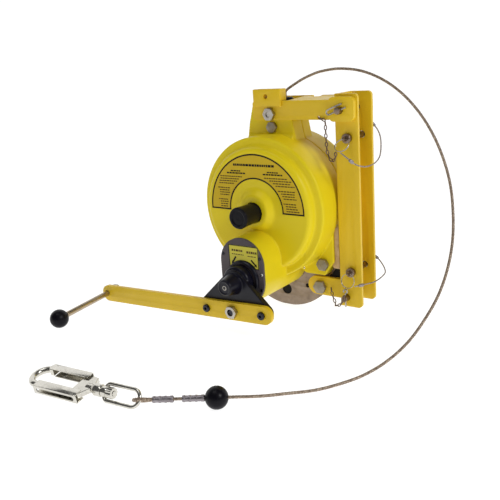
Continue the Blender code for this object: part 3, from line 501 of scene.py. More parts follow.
def lathe(profile, softness, sides, at=(0, 0, 0), turn=ALONG_Y):
    """A turned solid whose inner corners are rounded."""
    return turned(rounded_profile(profile, softness), sides, at, turn)


def barrel(radius, half, softness, sides, at=(0, 0, 0), turn=ALONG_Y):
    """A soft edged cylinder centred on its place."""
    return lathe([(0, -half), (radius, -half), (radius, half), (0, half)], softness, sides, at, turn)


def lofted(rings):
    """A closed solid through rings of points."""
    bm = bmesh.new()
    loops = [[bm.verts.new(p) for p in ring] for ring in rings]
    count = len(loops[0])
    for a, b in zip(loops, loops[1:]):
        for i in range(count):
            bm.faces.new((a[i], a[(i + 1) % count], b[(i + 1) % count], b[i]))
    bm.faces.new(loops[0])
    bm.faces.new(loops[-1])
    return mesh_from(bm)


def from_curve(splines, cyclic, settings):
    curve = bpy.data.curves.new("guide", "CURVE")
    for points in splines:
        spline = curve.splines.new("POLY")
        spline.points.add(len(points) - 1)
        for point, place in zip(spline.points, points):
            point.co = (*place, 1) if len(place) == 3 else (*place, 0, 1)
        spline.use_cyclic_u = cyclic
    for key, value in settings.items():
        setattr(curve, key, value)
    mesh = baked(linked("guide", curve))
    bm = bmesh.new()
    bm.from_mesh(mesh)
    bmesh.ops.remove_doubles(bm, verts=bm.verts, dist=0.000002)
    return mesh_from(bm)


def plate(outlines, thickness, at=(0, 0, 0), turn=FACE_FRONT):
    settings = {"dimensions": "2D", "fill_mode": "BOTH", "extrude": thickness / 2}
    return moved(from_curve(outlines, True, settings), at, turn)


def front_plate(outlines, y0, y1):
    return plate(outlines, y1 - y0, (0, (y0 + y1) / 2, 0))


def wire(points, radius, cyclic=False, resolution=4, at=(0, 0, 0), turn=NO_TURN):
    settings = {"dimensions": "3D", "bevel_depth": radius, "bevel_resolution": resolution,
                "use_fill_caps": True}
    return moved(from_curve([points], cyclic, settings), at, turn)


def box(low, high):
    bm = bmesh.new()
    bmesh.ops.create_cube(bm, size=1)
    bmesh.ops.scale(bm, vec=[h - l for l, h in zip(low, high)], verts=bm.verts)
    bmesh.ops.translate(bm, vec=[(l + h) / 2 for l, h in zip(low, high)], verts=bm.verts)
    return mesh_from(bm)


def rod(radius, length, sides=48, at=(0, 0, 0), turn=ALONG_Y):
    return turned([(0, 0), (radius, 0), (radius, length), (0, length)], sides, at, turn)


# Outlines

def arc(cx, cy, radius, start, end, steps):
    angles = [radians(start + (end - start) * i / steps) for i in range(steps + 1)]
    return [(cx + radius * cos(a), cy + radius * sin(a)) for a in angles]


def circle(cx, cy, radius, steps=48):
    return arc(cx, cy, radius, 0, 360, steps)[:-1]


def slot(cx0, cy0, cx1, cy1, radius, steps=24):
    angle = degrees(atan2(cy1 - cy0, cx1 - cx0))
    return (arc(cx0, cy0, radius, angle + 90, angle + 270, steps)
            + arc(cx1, cy1, radius, angle - 90, angle + 90, steps))


def through(route, per_span):
    """A smooth curve through the route's points, as evenly spread points."""
    points = [Vector(p) for p in route]
    ends = [2 * points[0] - points[1]] + points + [2 * points[-1] - points[-2]]
    made = []
    for i in range(len(points) - 1):
        p0, p1, p2, p3 = ends[i:i + 4]
        steps = max(1, round((p2 - p1).length / per_span))
        for k in range(steps):
            t = k / steps
            made.append(0.5 * (2 * p1 + (p2 - p0) * t + (2 * p0 - 5 * p1 + 4 * p2 - p3) * t ** 2
                               + (3 * p1 - p0 - 3 * p2 + p3) * t ** 3))
    return made + [points[-1]]


def length_of(points):
    return sum((b - a).length for a, b in zip(points, points[1:]))


def along(points):
    """At each point: the length so far, the point and its tangent, side and other side, which don't twist."""
    made, length, side = [], 0.0, None
    for i, point in enumerate(points):
        tangent = (points[min(i + 1, len(points) - 1)] - points[max(i - 1, 0)]).normalized()
        if side is None:
            side = tangent.orthogonal()
        side = (side - tangent * side.dot(tangent)).normalized()
        if i:
            length += (point - points[i - 1]).length
        made.append((length, point, tangent, side, tangent.cross(side)))
    return made


def twisted(points, radius, pitch, strands=6, sides=7):
    """A laid wire rope: strands wound round a core."""
    strand, orbit = radius / 3, radius * 2 / 3
    stations = along(points)
    made = []
    for k in range(strands + 1):
        rings = []
        for length, point, _, side, other in stations:
            centre = point
            if k < strands:
                angle = 2 * pi * (length / pitch + k / strands)
                centre = point + orbit * (cos(angle) * side + sin(angle) * other)
            rings.append([centre + strand * (cos(a) * side + sin(a) * other)
                          for a in (2 * pi * j / sides for j in range(sides))])
        made.append(lofted(rings))
    return shaded(joined(made), 60)


def chain(route, pitch, width, thickness):
    """Links one pitch apart, each turned a quarter from the one before."""
    stations = along(through(route, 0.0005))
    half = pitch / 2 - width / 2 + thickness / 2
    outline = slot(-half, 0, half, 0, (width - thickness) / 2, 6)
    links, due, count = [], pitch / 2, 0
    for length, point, tangent, side, other in stations:
        if length < due:
            continue
        a, b = (side, other) if count % 2 else (other, -side)
        turn = Matrix((tangent, a, b)).transposed().to_4x4()
        link = wire(outline, thickness / 2, True, 2)
        link.transform(Matrix.Translation(point) @ turn)
        links.append(link)
        due, count = due + pitch, count + 1
    return shaded(joined(links), 60)


# Pieces

def show(name, mesh, look, *nodes, body="frame", slot_name=None, at=Matrix()):
    """A piece made in the housing's frame, or in a frame at within it. It rides a body and stands for nodes.

    Its material is the look's own; slot_name is not used.
    """
    obj = linked(name, mesh)
    obj.matrix_world = Matrix.Translation(HOUSING) @ at
    mesh.materials.clear()
    mesh.materials.append(LOOKS[look])
    if body:
        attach(obj, body)
    if nodes:
        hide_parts(*nodes)
    return obj


def finish_node(look, *names):
    for name in names:
        for place in NODES[name].material_slots:
            place.material = LOOKS[look]


ARM = matrix_at((0, ARM_Y, ARM_Z), (0, -ARM_TILT, 0))
HANDLE = matrix_at((ROD_X * cos(ARM_TILT), ARM_Y + ARM_THICK / 2, ARM_Z + ROD_X * sin(ARM_TILT)), ROD_TURN)
HOOK = matrix_at(SWIVEL, HOOK_TURN)
BAIL = HOOK @ matrix_at(turn=(BAIL_TILT, 0, 0))
ROPE_END = Matrix.Translation(EYE_BAR) @ (BALL - EYE_BAR).to_track_quat("X", "Z").to_matrix().to_4x4()


def hexagon(across, low, high, chamfer=0.0012, both=False):
    """A hexagonal head along +Z whose corners are turned off at the top, or at both ends."""
    corner = across / sqrt(3)
    body = turned([(0, low), (corner, low), (corner, high), (0, high)], 6, turn=NO_TURN)
    start = [(0, low), (corner - chamfer, low), (corner + 0.0004, low + chamfer * 0.7)] if both \
        else [(0, low), (corner + 0.0004, low)]
    limit = turned(start + [(corner + 0.0004, high - chamfer * 0.7), (corner - chamfer, high), (0, high)], 96,
                   turn=NO_TURN)
    return combined(body, [limit], "INTERSECT")


# Rope, hook and what lies on the table. The cord comes first.

def make_rope():
    line = (BALL - EYE_BAR).normalized()
    route = ROPE_ROUTE + [tuple(EYE_BAR + line * distance) for distance in ROPE_IN_BALL]
    path = through(route, 0.0012)
    rope = show("wire_rope", twisted(path, ROPE_RADIUS, 0.024), "rope_wire", "rope")
    return rope, path, length_of(path)


def make_rope_end():
    mouth, bend = 0.0146, 0.0086
    outline = [Vector((mouth, 0.0019, 0))]
    outline += [Vector((0.0008 + x, y, 0)) for x, y in arc(0, 0, bend, 28, 332, 60)]
    outline += [Vector((mouth, -0.0019, 0))]
    path = through([tuple(p) for p in outline], 0.0008)
    made = [show("eye_loop", twisted(path, 0.0023, 0.02), "rope_wire", "rope_eye",
                 at=ROPE_END @ matrix_at(turn=(EYE_LEAN, 0, 0)))]
    bore, waist, bulge = 0.0028, 0.00375, 0.0042
    for name, node, start, length in (("sleeve_b", "ferrule_b", 0.0151, 0.025),
                                      ("sleeve_a", "ferrule_a", 0.051, 0.0265)):
        profile = [(bore, 0), (0.0039, 0)]
        for press in range(3):
            a = length * (0.1 + press * 0.28)
            b = a + length * 0.2
            profile += [(bulge, a - 0.0006), (bulge, a), (waist, a + 0.0006), (waist, b - 0.0006), (bulge, b)]
        profile += [(bulge, length - 0.0008), (0.0038, length), (bore, length)]
        mesh = shaded(turned(profile, 64, (start, 0, 0), ALONG_X), 30)
        made.append(show(name, mesh, "ferrule", node, at=ROPE_END))
    angles = [radians(14 + 152 * i / 40) for i in range(41)]
    profile = [(0.0029, -0.0137), *((STOPPER_RADIUS * sin(a), -STOPPER_RADIUS * cos(a)) for a in angles),
               (0.0029, 0.0137)]
    seam = [(r - (0.00025 if abs(z) < 0.0004 else 0), z) for r, z in profile]
    ball = shaded(turned(seam, 96, ((BALL - EYE_BAR).length, 0, 0), ALONG_X), 30)
    made.append(show("bumper_ball", ball, "black_plastic", "stopper_ball", at=ROPE_END))
    return made


def make_bail():
    oval = (arc(-0.0425, 0, 0.0106, 90, 270, 40) + arc(-0.006, -0.0046, 0.006, -90, 0, 12)
            + arc(-0.006, 0.0046, 0.006, 0, 90, 12))
    boss = barrel(0.0068, 0.004, 0.0008, 64, turn=ALONG_X)
    body = cut(united(wire(oval, 0.0026, True, 6), boss), rod(0.0036, 0.02, 48, (-0.01, 0, 0), ALONG_X))
    body = cast(body, HOOK_VOXEL, 5, 60)
    return show("bail_forging", body, "hook_plating", "swivel_bail", body="bail", at=BAIL)


def make_hook():
    petals = []
    for i in range(120):
        a = 2 * pi * i / 120
        r = 0.0068 + 0.0004 * cos(10 * a)
        petals.append((r * cos(a), r * sin(a)))
    nut = plate([petals, circle(0, 0, 0.0034, 48)], 0.009, (-0.0089, 0, 0), ALONG_X)
    show("petal_nut", bevelled(nut, 0.0007, 2), "hook_plating", "swivel_nut", body="hook", at=HOOK)

    bow, side = HOOK_BOW, 0.016
    bar = ([(0.04, 0.015), (0.048, side), (bow - 0.003, side)]
           + arc(bow, 0, side, 80, -84, 40) + [(bow - 0.002, -side)])
    base = metres((20, -5.5), (24.5, -17.2), (38, -18.5), (41.5, -16.5), (44, -11), (44, 12), (48, 19.5),
                  (29, 19.5), (21, 5.5))
    stem = metres((0, -14), (3.1, -14), (3.1, 4.3), (7.2, 4.3), (8, 6), (8, 15), (5.5, 19), (5.5, 29),
                  (0, 29))
    nose = metres((-5.5, -22.5), (0.5, -22.5), (3, -16), (0.5, -10.5), (-5.5, -10.5))
    nose = [(bow + x, y) for x, y in nose]
    body = united(wire(bar, 0.0045, False, 8), plate([base], 0.007, turn=NO_TURN),
                  turned(stem, 64, turn=ALONG_X), plate([nose], 0.01, turn=NO_TURN))
    body = cut(body, rod(0.002, 0.03, 32, (*GATE_PIN, -0.015), NO_TURN),
               rod(0.0017, 0.03, 32, (*LOCK_PIN, -0.015), NO_TURN))
    show("hook_forging", cast(body, HOOK_VOXEL, 5, 60), "hook_plating", "hook_body", body="hook", at=HOOK)

    gate = united(channel(-0.0105, -0.0215, 0.0065, bow - 0.0425, 0.0365),
                  barrel(0.0016, 0.00625, 0.0003, 32, (*GATE_PIN, 0), NO_TURN))
    show("gate_channel", bevelled(gate, 0.0003, 2), "hook_plating", "hook_gate", body="gate", at=HOOK)
    finger_slot = front_plate([slot(0.033, 0, 0.09, 0, 0.003)], 0.02, 0.03)
    lock = united(cut(channel(0.0135, 0.0258, 0.0064, 0.072, 0.026), finger_slot),
                  barrel(0.0013, 0.00615, 0.0003, 32, (*LOCK_PIN, 0), NO_TURN))
    show("lock_channel", bevelled(lock, 0.0003, 2), "hook_plating", "hook_lock", body="lock", at=HOOK)


def channel(mouth, back, half, length, start, wall=0.0012, bend=0.0016):
    """A U section open at Y = mouth with its web at Y = back, along local X, its outer corners rolled."""
    sign = copysign(1, back - mouth)
    inner = back - sign * wall
    outer = [(mouth, -half), (back - sign * bend, -half), (back - sign * bend * 0.3, -half + bend * 0.3),
             (back, bend - half), (back, half - bend), (back - sign * bend * 0.3, half - bend * 0.3),
             (back - sign * bend, half), (mouth, half)]
    section = outer + [(mouth, half - wall), (inner, half - wall), (inner, wall - half), (mouth, wall - half)]
    return plate([section], length, (start + length / 2, 0, 0), SECTION)


# Housing

def boss_outline(radius):
    return slot(0, BOSS_TOP_Z, 0, CRANK_Z, radius, 48)


def neck_outline():
    side = [(0.045, 0.09), (0.0385, 0.123), (0.031, 0.149)]
    return [(-x, z) for x, z in side] + side[::-1]


def foot_outline():
    return metres((20, -85), (50, -106), (83.5, -106), (99.7, -83), (99.7, 0))


def rope_bore():
    return rod(0.0083, 0.03, 48, (ROPE_X, ROPE_Y, 0.135), NO_TURN)


def bolt_holes(*places):
    return [rod(0.0045, 0.08, 32, (x, 0.03, z)) for x, z in places]


def make_front_cover():
    body = lathe([
        (0, -0.009), (0.022, -0.009), (0.0245, -0.0085), (0.0312, -0.0012), (0.0335, 0), (FACE_RADIUS, 0),
        (0.0912, 0.0015), (0.0933, 0.0055), (0.0943, 0.0105), (0.096, 0.0122), (0.1052, 0.0126),
        (COVER_RADIUS, 0.0146), (COVER_RADIUS, SEAM_Y), (0, SEAM_Y)], 0.001, 256)
    neck_slope = metres((34, 88), (50.2, 107), (60, 107), (60, 88))
    body = united(body, front_plate([boss_outline(BOSS_RADIUS)], BOSS_FRONT, 0.0695),
                  front_plate([neck_outline()], 0.05, SEAM_Y), front_plate([foot_outline()], 0.05, 0.0695),
                  plate([neck_slope], 0.08, turn=SECTION))
    inside = metres((0, 5), (83, 5), (89, 9), (91, 19), (98, 22), (102, 26), (102, 80), (0, 80))
    body = cut(
        body, turned(inside, 192), front_plate([boss_outline(BOSS_RADIUS - WALL)], -0.06, 0.065),
        box((-0.2, 0.07, -0.2), (0.2, 0.09, -0.0197)), box((0.002, 0.062, 0.08), (0.034, 0.09, 0.143)),
        rope_bore(), rod(0.0155, 0.05, 64, (0, -0.02, -KNOB_DROP)),
        *bolt_holes(NECK_BOLT, ARM_BOLT, FOOT_BOLT))
    show("cover_casting", cast(body, 0.0009, 4), "housing_yellow", "front_cover")


def make_rear_housing():
    body = lathe([
        (0, 0.075), (COVER_RADIUS, 0.075), (COVER_RADIUS, 0.116), (0.1045, 0.1225), (0.098, 0.1265),
        (0.088, 0.128), (0.03, 0.128), (0.027, 0.131), (0, 0.131)], 0.0012, 256)
    body = united(body, front_plate([neck_outline()], 0.075, 0.097))
    rib = (0.034, 0.1262, -0.0016), (0.092, 0.1296, 0.0016)
    body = united(body, *(moved(box(*rib), turn=(0, radians(30 * i + 15), 0)) for i in range(12)))
    body = cut(
        body, turned(metres((0, 70), (102, 70), (102, 115), (96, 121), (0, 121)), 192),
        box((0.002, 0.07, 0.08), (0.034, 0.085, 0.143)), rope_bore(), rod(0.0103, 0.02, 48, (0, 0.11, 0)),
        *bolt_holes(NECK_BOLT, ARM_BOLT))
    show("rear_casting", cast(body, 0.0011), "housing_yellow", "rear_housing")


def make_frame_plate():
    lobe = arc(0, -0.0775, 0.095, -168, -12, 120)
    hollow = arc(0, 0, 0.0905, -13, -167, 100)
    outline = lobe + [(0.101, -0.02), (0.0905, -0.02)] + hollow + [(-0.0905, -0.02), (-0.101, -0.02)]
    (big, small) = PLATE_HOLES
    body = front_plate([outline, circle(*big), circle(*small, 32), circle(*LUG_BOLT, 0.0066),
                        circle(*FOOT_BOLT, 0.0045, 32)], 0.0703, SEAM_Y)
    show("mill_plate", bevelled(body, 0.0005, 2), "plate_steel", "frame_plate")


def make_gearbox_front():
    body = front_plate([boss_outline(BOSS_RADIUS - 0.0005), circle(0, CRANK_Z, 0.0125)], PLATE_FRONT,
                       BOSS_FRONT - 0.0003)
    bearing = metres((8.5, -44), (15, -44), (15, -26), (8.5, -26))
    body = united(bevelled(body, 0.0006, 2), turned(bearing, 64, CRANK),
                  rod(0.0019, 0.035, 32, (-0.018, -0.044, -0.0655)))
    show("gearbox_cap", shaded(body), "gearbox_grey", "gearbox_plate")
    screws = []
    for x, z in ((0.033, -0.059), (0.0345, -0.083), (0.0335, -0.107), (-0.0335, -0.058), (-0.0335, -0.107)):
        head = lathe(metres((0, -1.2), (2.2, -1.2), (2.6, -0.2), (2.6, 0.6), (0, 0.6)),
                     0.0003, 48, (x, PLATE_FRONT, z))
        screws.append(cut(head, box((x - 0.0018, PLATE_FRONT - 0.003, z - 0.0003),
                                    (x + 0.0018, PLATE_FRONT - 0.0007, z + 0.0003))))
    edge_screw = screws.pop(1)
    show("cap_screws", shaded(joined(screws)), "black_oxide", slot_name="gearbox_grey")
    show("cap_edge_screw", shaded(edge_screw), "bright", slot_name="zinc")
    collar = lathe([
        (0.025, PLATE_FRONT + 0.0002), (0.0282, PLATE_FRONT + 0.0002), (0.0282, -0.0472), (0.0262, -0.0494),
        (0.025, -0.0494)], 0.0006, 128, (0.0015, 0, CRANK_Z + 0.001))
    show("bearing_collar", shaded(collar), "black_enamel")


def make_rope_outlet():
    bushing = metres((3.1, 144.2), (8, 144.2), (8, 149.5), (9.8, 149.5), (9.8, 154.5), (7.5, 158), (4.5, 158),
                     (3.1, 155.5))
    bushing = lathe(bushing, 0.0006, 64, (ROPE_X, ROPE_Y, 0), NO_TURN)
    show("outlet_bushing", shaded(bushing), "black_plastic", "rope_bushing")
    body = united(box((-0.023, 0.0415, 0.1475), (0.025, 0.0444, 0.172)),
                  box((-0.023, 0.044, 0.1555), (0.025, 0.058, 0.172)))
    body = cut(body, rod(0.0036, 0.03, 32, (-0.001, 0.038, 0.1615)))
    show("outlet_guard", bevelled(body, 0.0022, 4, 50), "bracket_yellow", "rope_guard")


# Bracket

def pin_hole(x, z):
    return circle(x, z, 0.0052, 40)


def make_leg_channel():
    low, high, corner = -0.149, 0.163, 0.006
    flange = [(0.11, low), *arc(0.139, low + corner, corner, -90, 0, 12),
              *arc(0.139, high - corner, corner, 0, 90, 12), (0.11, high)]
    holes = [pin_hole(x, z) for x, z in ((PIN_X, PIN_Z[0]), (PIN_X, PIN_Z[1]), UPPER_CLEVIS, LOWER_CLEVIS)]
    body = united(front_plate([flange, *holes], 0.05, 0.055), front_plate([flange, *holes], 0.092, 0.097),
                  box((0.11, 0.053, low), (0.115, 0.094, high)))
    show("leg_bracket", bevelled(body, 0.0016, 4, 50), "bracket_yellow", "leg_channel")


def rounded(x0, y0, x1, y1, radius, steps=10):
    corners = [(x1, y0, -90, -1, 1), (x1, y1, 0, -1, -1), (x0, y1, 90, 1, -1), (x0, y0, 180, 1, 1)]
    made = []
    for x, y, start, i, j in corners:
        made += arc(x + i * radius, y + j * radius, radius, start, start + 90, steps)
    return made


def make_arms():
    strap = rounded(-0.027, 0.1277, 0.107, 0.1552, 0.0045)
    end = rounded(0.1045, 0.1255, 0.1435, 0.1595, 0.008)
    high_strap = rounded(-0.027, 0.1277, 0.107, 0.158, 0.0045)
    high_end = rounded(0.1045, 0.1255, 0.141, 0.159, 0.01)
    web = metres((47, 150.3), (100, 150.3), (100, 157.6), (47, 155.2))
    hole, end_hole = pin_hole(*ARM_BOLT), pin_hole(*UPPER_CLEVIS)
    body = united(front_plate([strap, hole, circle(0.086, 0.1315, 0.002, 24)], 0.0447, 0.0497),
                  front_plate([end, end_hole], 0.0415, 0.0496),
                  front_plate([high_strap, hole], 0.0973, 0.1023),
                  front_plate([high_end, end_hole], 0.0974, 0.1055),
                  plate([web], 0.075, (0.0715, 0, 0), SECTION))
    body = cut(body, box((0.046, 0.088, 0.14), (0.062, 0.112, 0.17)))
    show("upper_fork", bevelled(body, 0.0007, 3, 50), "bracket_yellow", "upper_arm")
    lug = arc(0.0675, -0.1235, 0.0145, 90, 270, 40) + [(0.1094, -0.138), (0.1094, -0.109)]
    hole = circle(*LUG_BOLT, 0.0066)
    body = united(front_plate([lug, hole], 0.051, 0.056), front_plate([lug, hole], 0.089, 0.094),
                  box((0.104, 0.053, -0.137), (0.1094, 0.092, -0.11)))
    show("lower_fork", bevelled(body, 0.0007, 3, 50), "bracket_yellow", "lower_arm")


def bolt(name, place, head_y, length, across, radius, node, look="dull_zinc", recess=0):
    x, z = place
    head = hexagon(across, 0.0008, 0.0063)
    if recess:
        head = cut(head, rod(recess, 0.01, 32, (0, 0, 0.0045), NO_TURN))
    head = moved(head, (x, head_y, z), FACE_FRONT)
    rim = across / 2 - 0.0004
    washer = turned([(0, -0.0009), (rim, -0.0009), (rim, -0.0003), (0, -0.0003)], 64, (x, head_y, z))
    shank = rod(radius, length + 0.001, 32, (x, head_y - 0.0013, z))
    nut = moved(hexagon(across, 0, 0.006, both=True), (x, head_y + length - 0.0062, z), ALONG_Y)
    mesh = bevelled(joined([head, washer, shank, nut]), 0.00018, 2, 25)
    show(name, mesh, look, node, slot_name="zinc")


def make_bolts():
    # Black discs inside the frame plate's holes: painted shade for the holes' dark insides.
    hole_shade_discs = [rod(radius - 0.0002, 0.003, 32, (x, 0.0712, z)) for x, z, radius in PLATE_HOLES]
    show("plate_hole_shade", shaded(joined(hole_shade_discs)), "pad_rubber")
    shim = metres((95, -90), (95, -30), (107.5, -30), (107.5, -93.5), (98, -93.5))
    show("foot_shim", bevelled(front_plate([shim], 0.0535, 0.0555), 0.0003, 2), "shim", slot_name="zinc")
    vent = metres((0, -1.2), (1.6, -1.2), (2.1, -0.4), (2.1, 0.3), (0, 0.3))
    vent = moved(lathe(vent, 0.0003, 32), (0.047, 0.05, -0.098))
    show("cover_vent_screw", shaded(vent), "bright", slot_name="zinc")
    bolt("arm_hex_bolt", ARM_BOLT, 0.0447, 0.0642, 0.0172, 0.0041, "arm_bolt", "zinc", recess=0.0044)
    bolt("neck_hex_bolt", NECK_BOLT, 0.05, 0.0538, 0.015, 0.0041, "neck_bolt")
    bolt("foot_hex_bolt", FOOT_BOLT, 0.05, 0.0318, 0.017, 0.0041, "foot_bolt")
    bolt("lug_hex_bolt", LUG_BOLT, 0.051, 0.0496, 0.0185, 0.006, "lug_bolt")
    # The foot pad is black as painted shade in the gap between the housing's foot and the lower arm.
    finish_node("pad_rubber", "foot_pad")


# Pins, clips, rings, lanyards and chains

def clevis_pin(side, place, front, back, hole):
    shank, head = 0.0048, 0.0075
    body = lathe([(0, front), (shank, front), (shank, back - 0.0005), (head, back - 0.0005),
                  (head, back + 0.0035), (0, back + 0.0035)], 0.0007, 64, (place[0], 0, place[1]))
    show(side + "_through_pin", shaded(cut(body, hole)), "pin_steel", side + "_clevis_pin")


def make_clevis_pins():
    (x, z), (low_x, low_z) = UPPER_CLEVIS, LOWER_CLEVIS
    clevis_pin("upper", UPPER_CLEVIS, 0.033, 0.1064,
               rod(0.0017, 0.03, 24, (0.107, 0.0372, 0.1352), (0, radians(69), 0)))
    clevis_pin("lower", LOWER_CLEVIS, 0.04, 0.0978, rod(0.0017, 0.03, 24, (low_x, 0.045, -0.15), NO_TURN))
    clip = ([(0.013, 0), (-0.0145, 0)] + arc(-0.0145, 0.0034, 0.0034, -115, -245, 24)
            + [(-0.012, 0.0068), (0.009, 0.0068)])
    at = matrix_at((x, 0.0372, z), (radians(90), radians(-21), 0))
    clip = shaded(wire(clip, 0.0012, False, 6))
    show("upper_wire_clip", clip, "zinc", "upper_hitch_clip", body="upper_clip", at=at)
    cotter = [(0, -0.0135), (0, 0.0075)] + arc(0, 0.011, 0.003, -60, 220, 30)
    cotter = shaded(wire([(x, 0, z) for x, z in cotter], 0.0012, False, 6))
    at = matrix_at((low_x, 0.045, low_z))
    show("lower_wire_clip", cotter, "zinc", "lower_cotter_pin", body="lower_clip", at=at)


def make_detent_pins():
    ring, turns, steps = 0.0105, 2, 150
    for side, z, lean in (("upper", PIN_Z[0], -45), ("lower", PIN_Z[1], -12)):
        mover, tab_at = side + "_pin", (PIN_X, PIN_TAB_Y, z)
        body = metres((0, 44.2), (7, 44.2), (7, 49.7), (4.7, 49.7), (4.7, 101), (3.4, 102), (0, 102))
        body = lathe(body, 0.0009, 64, (PIN_X, 0, z))
        tab = bevelled(plate([slot(0, 0, 0.006, 0, 0.0035)], 0.0026, tab_at, SECTION), 0.0004, 2)
        body = cut(united(body, tab), rod(0.0018, 0.03, 32, (PIN_X - 0.015, PIN_TAB_Y, z), ALONG_X))
        show(side + "_quick_pin", shaded(body), "pin_steel", side + "_detent_pin", body=mover)
        coil = []
        for i in range(steps + 1):
            a = 2 * pi * turns * i / steps + 0.6
            across = 0.00052 * max(-1, min(1, (i / steps - 0.5) * 6))
            coil.append((ring * sin(a), across, ring * (cos(a) - 1)))
        coil = shaded(wire(coil, 0.00048, False, 4))
        show(side + "_split_ring", coil, "zinc", side + "_pull_ring", body=mover,
             at=matrix_at(tab_at, (radians(lean), 0, 0)))


def crimped(route, start, length=0.0075, radius=0.0021, sides=24):
    """A crimped sleeve round the stretch of a route."""
    stations = [s for s in along(through(route, 0.0005)) if start <= s[0] <= start + length]
    rings = []
    for i, (_, point, _, side, other) in enumerate(stations):
        t = i / (len(stations) - 1)
        r = radius * (1 - 0.12 * (sin(3 * pi * t) ** 2)) * (0.8 if t in (0, 1) else 1)
        rings.append([point + r * (1.25 * cos(a) * side + sin(a) * other)
                      for a in (2 * pi * j / sides for j in range(sides))])
    return lofted(rings)


def make_lanyards_and_chains():
    for side, route, hold in (("upper", UPPER_LANYARD, 0.016), ("lower", LOWER_LANYARD, 0.006)):
        whole = length_of(through(route, 0.0005))
        strand = twisted(through(route, 0.0006), 0.001, 0.009)
        strand = show(side + "_wire", strand, "lanyard_wire", side + "_lanyard", body=None)
        sleeves = joined([crimped(route, hold), crimped(route, whole - 0.013)])
        for piece in (strand, show(side + "_sleeves", shaded(sleeves), "ferrule", body=None)):
            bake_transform(piece)
    for side, route in (("upper", UPPER_CHAIN), ("lower", LOWER_CHAIN)):
        links = chain(route, 0.0058, 0.0048, 0.0015)
        show(side + "_links", links, "chain_bronze", side + "_chain")


# Crank, handle and knobs

def make_shift_knob():
    body = metres(
        (0, -44.7), (4, -45.2), (8, -45), (10.4, -45), (11.2, -45.9), (11.8, -46.5), (14.8, -46.5),
        (15.8, -45.6), (16, -44.5), (15.5, -34), (14.9, -20), (14.9, 7.7), (12.5, 7.7), (12.5, -6), (0, -6))
    body = lathe(body, 0.0006, 128, (0, 0, -KNOB_DROP))
    show("push_knob", shaded(body, 30), "black_plastic", "shift_knob", body="shift_knob")


def make_crank_hub():
    side = arc(0.05, -0.0385, 0.013, -95, 45, 24)
    delta = arc(0, 0, 0.0195, 35, 145, 24) + [(-x, z) for x, z in side[::-1]] + side
    barrel_profile = metres(
        (0, -90), (10.8, -90), (12.2, -88.6), (15.6, -70), (15.6, -64), (22.2, -62.2),
        (23.5, -60.5), (23.5, -51), (19, -47), (0, -47))
    body = united(plate([delta], 0.009, (0, ARM_Y + 0.0115, CRANK_Z)), turned(barrel_profile, 128, CRANK))
    bores = ((0.0083, 0.04, 48, -0.0703), (0.0046, 0.02, 48, -0.108), (0.0088, 0.02, 64, -0.1092))
    body = cut(body, *(rod(radius, length, sides, (0, y, CRANK_Z)) for radius, length, sides, y in bores))
    show("hub_casting", cast(body, 0.0006, 5), "black_enamel", "crank_hub", body="crank")
    screw = metres((0, -89.3), (3.4, -89.3), (3.9, -88.5), (3.9, -88.1), (0, -88.1))
    socket = moved(hexagon(0.0046, 0, 0.003), (0, -0.0888, CRANK_Z), FACE_FRONT)
    screw = cut(lathe(screw, 0.0003, 48, CRANK), socket)
    show("hub_screw", shaded(screw), "zinc", body="crank")


def make_crank_arm():
    holes = [circle(ARM_SCREWS["left"], 0, 0.0036, 32), circle(ARM_SCREWS["right"], 0, 0.0036, 32),
             circle(0, 0, 0.0046, 40), circle(ROD_X, 0, 0.005, 40)]
    body = plate([slot(-0.265, 0, 0.0555, 0, ARM_HALF, 48), *holes], ARM_THICK, (0, ARM_THICK / 2, 0))
    show("arm_bar", bevelled(body, 0.001, 4), "bracket_yellow", "crank_arm", body="crank", at=ARM)
    for side, x in ARM_SCREWS.items():
        head = lathe([
            (0, -0.004), (0.005, -0.004), (0.006, -0.0028), (0.006, -0.0003), (0.0033, -0.0003),
            (0.0033, ARM_THICK), (0, ARM_THICK)], 0.0005, 64)
        head = cut(head, moved(hexagon(0.0042, 0.0017, 0.005), turn=FACE_FRONT))
        show(side + "_cap_screw", moved(shaded(head), (x, 0, 0)), "black_oxide", "arm_screw_" + side,
             body="crank", slot_name="black_enamel", at=ARM)
    nut = cut(hexagon(0.0173, 0.0003, 0.0063), rod(0.0052, 0.02, 48, (0, 0, -0.001), NO_TURN))
    nut = moved(nut, turn=FACE_FRONT)
    show("arm_hex_nut", bevelled(nut, 0.0002, 2, 25), "zinc", "arm_nut", body="crank", at=ARM)
    stud = [(0, -0.0046), (0.004, -0.0046), (0.0042, -0.004), (0.0042, ARM_THICK), (0, ARM_THICK)]
    show("arm_stud", shaded(lathe(stud, 0.0005, 48)), "black_oxide", body="crank", slot_name="zinc", at=ARM)


def make_handle():
    tip, step = KNOB_AT - 0.0003, KNOB_AT + 0.0151
    steel = lathe([(0, tip), (0.003, tip), (0.003, step), (0.0045, step), (0.0045, 0.022), (0, 0.022)],
                  0.0007, 64)
    show("handle_bar", shaded(steel), "rod_tan", "handle_rod", body="crank", at=HANDLE)
    nut = moved(hexagon(0.0147, 0.015, 0.0205, both=True), turn=ALONG_Y)
    nut = cut(nut, rod(0.0052, 0.02, 48, (0, 0.01, 0)))
    show("bar_nut", bevelled(nut, 0.0002, 2, 25), "zinc", "rod_nut", body="crank", at=HANDLE)
    angles = [radians(13 + 155 * i / 48) for i in range(49)]
    profile = [(0.0033, 0.0141), *((GRIP_RADIUS * sin(a), GRIP_RADIUS * cos(a)) for a in angles)]
    profile += [(0, profile[-1][1]), (0, -0.0006), (0.0033, -0.0006)]
    grip = shaded(turned(profile, 96, (0, KNOB_AT, 0)), 30)
    show("ball_grip", grip, "black_plastic", "handle_knob", body="handle", at=HANDLE)


# Labels. Their text is generic bars.

def printed(shapes, y):
    """Ink on a face at y. Each shape is its outlines."""
    return joined([front_plate(outlines, y - INK, y) for outlines in shapes])


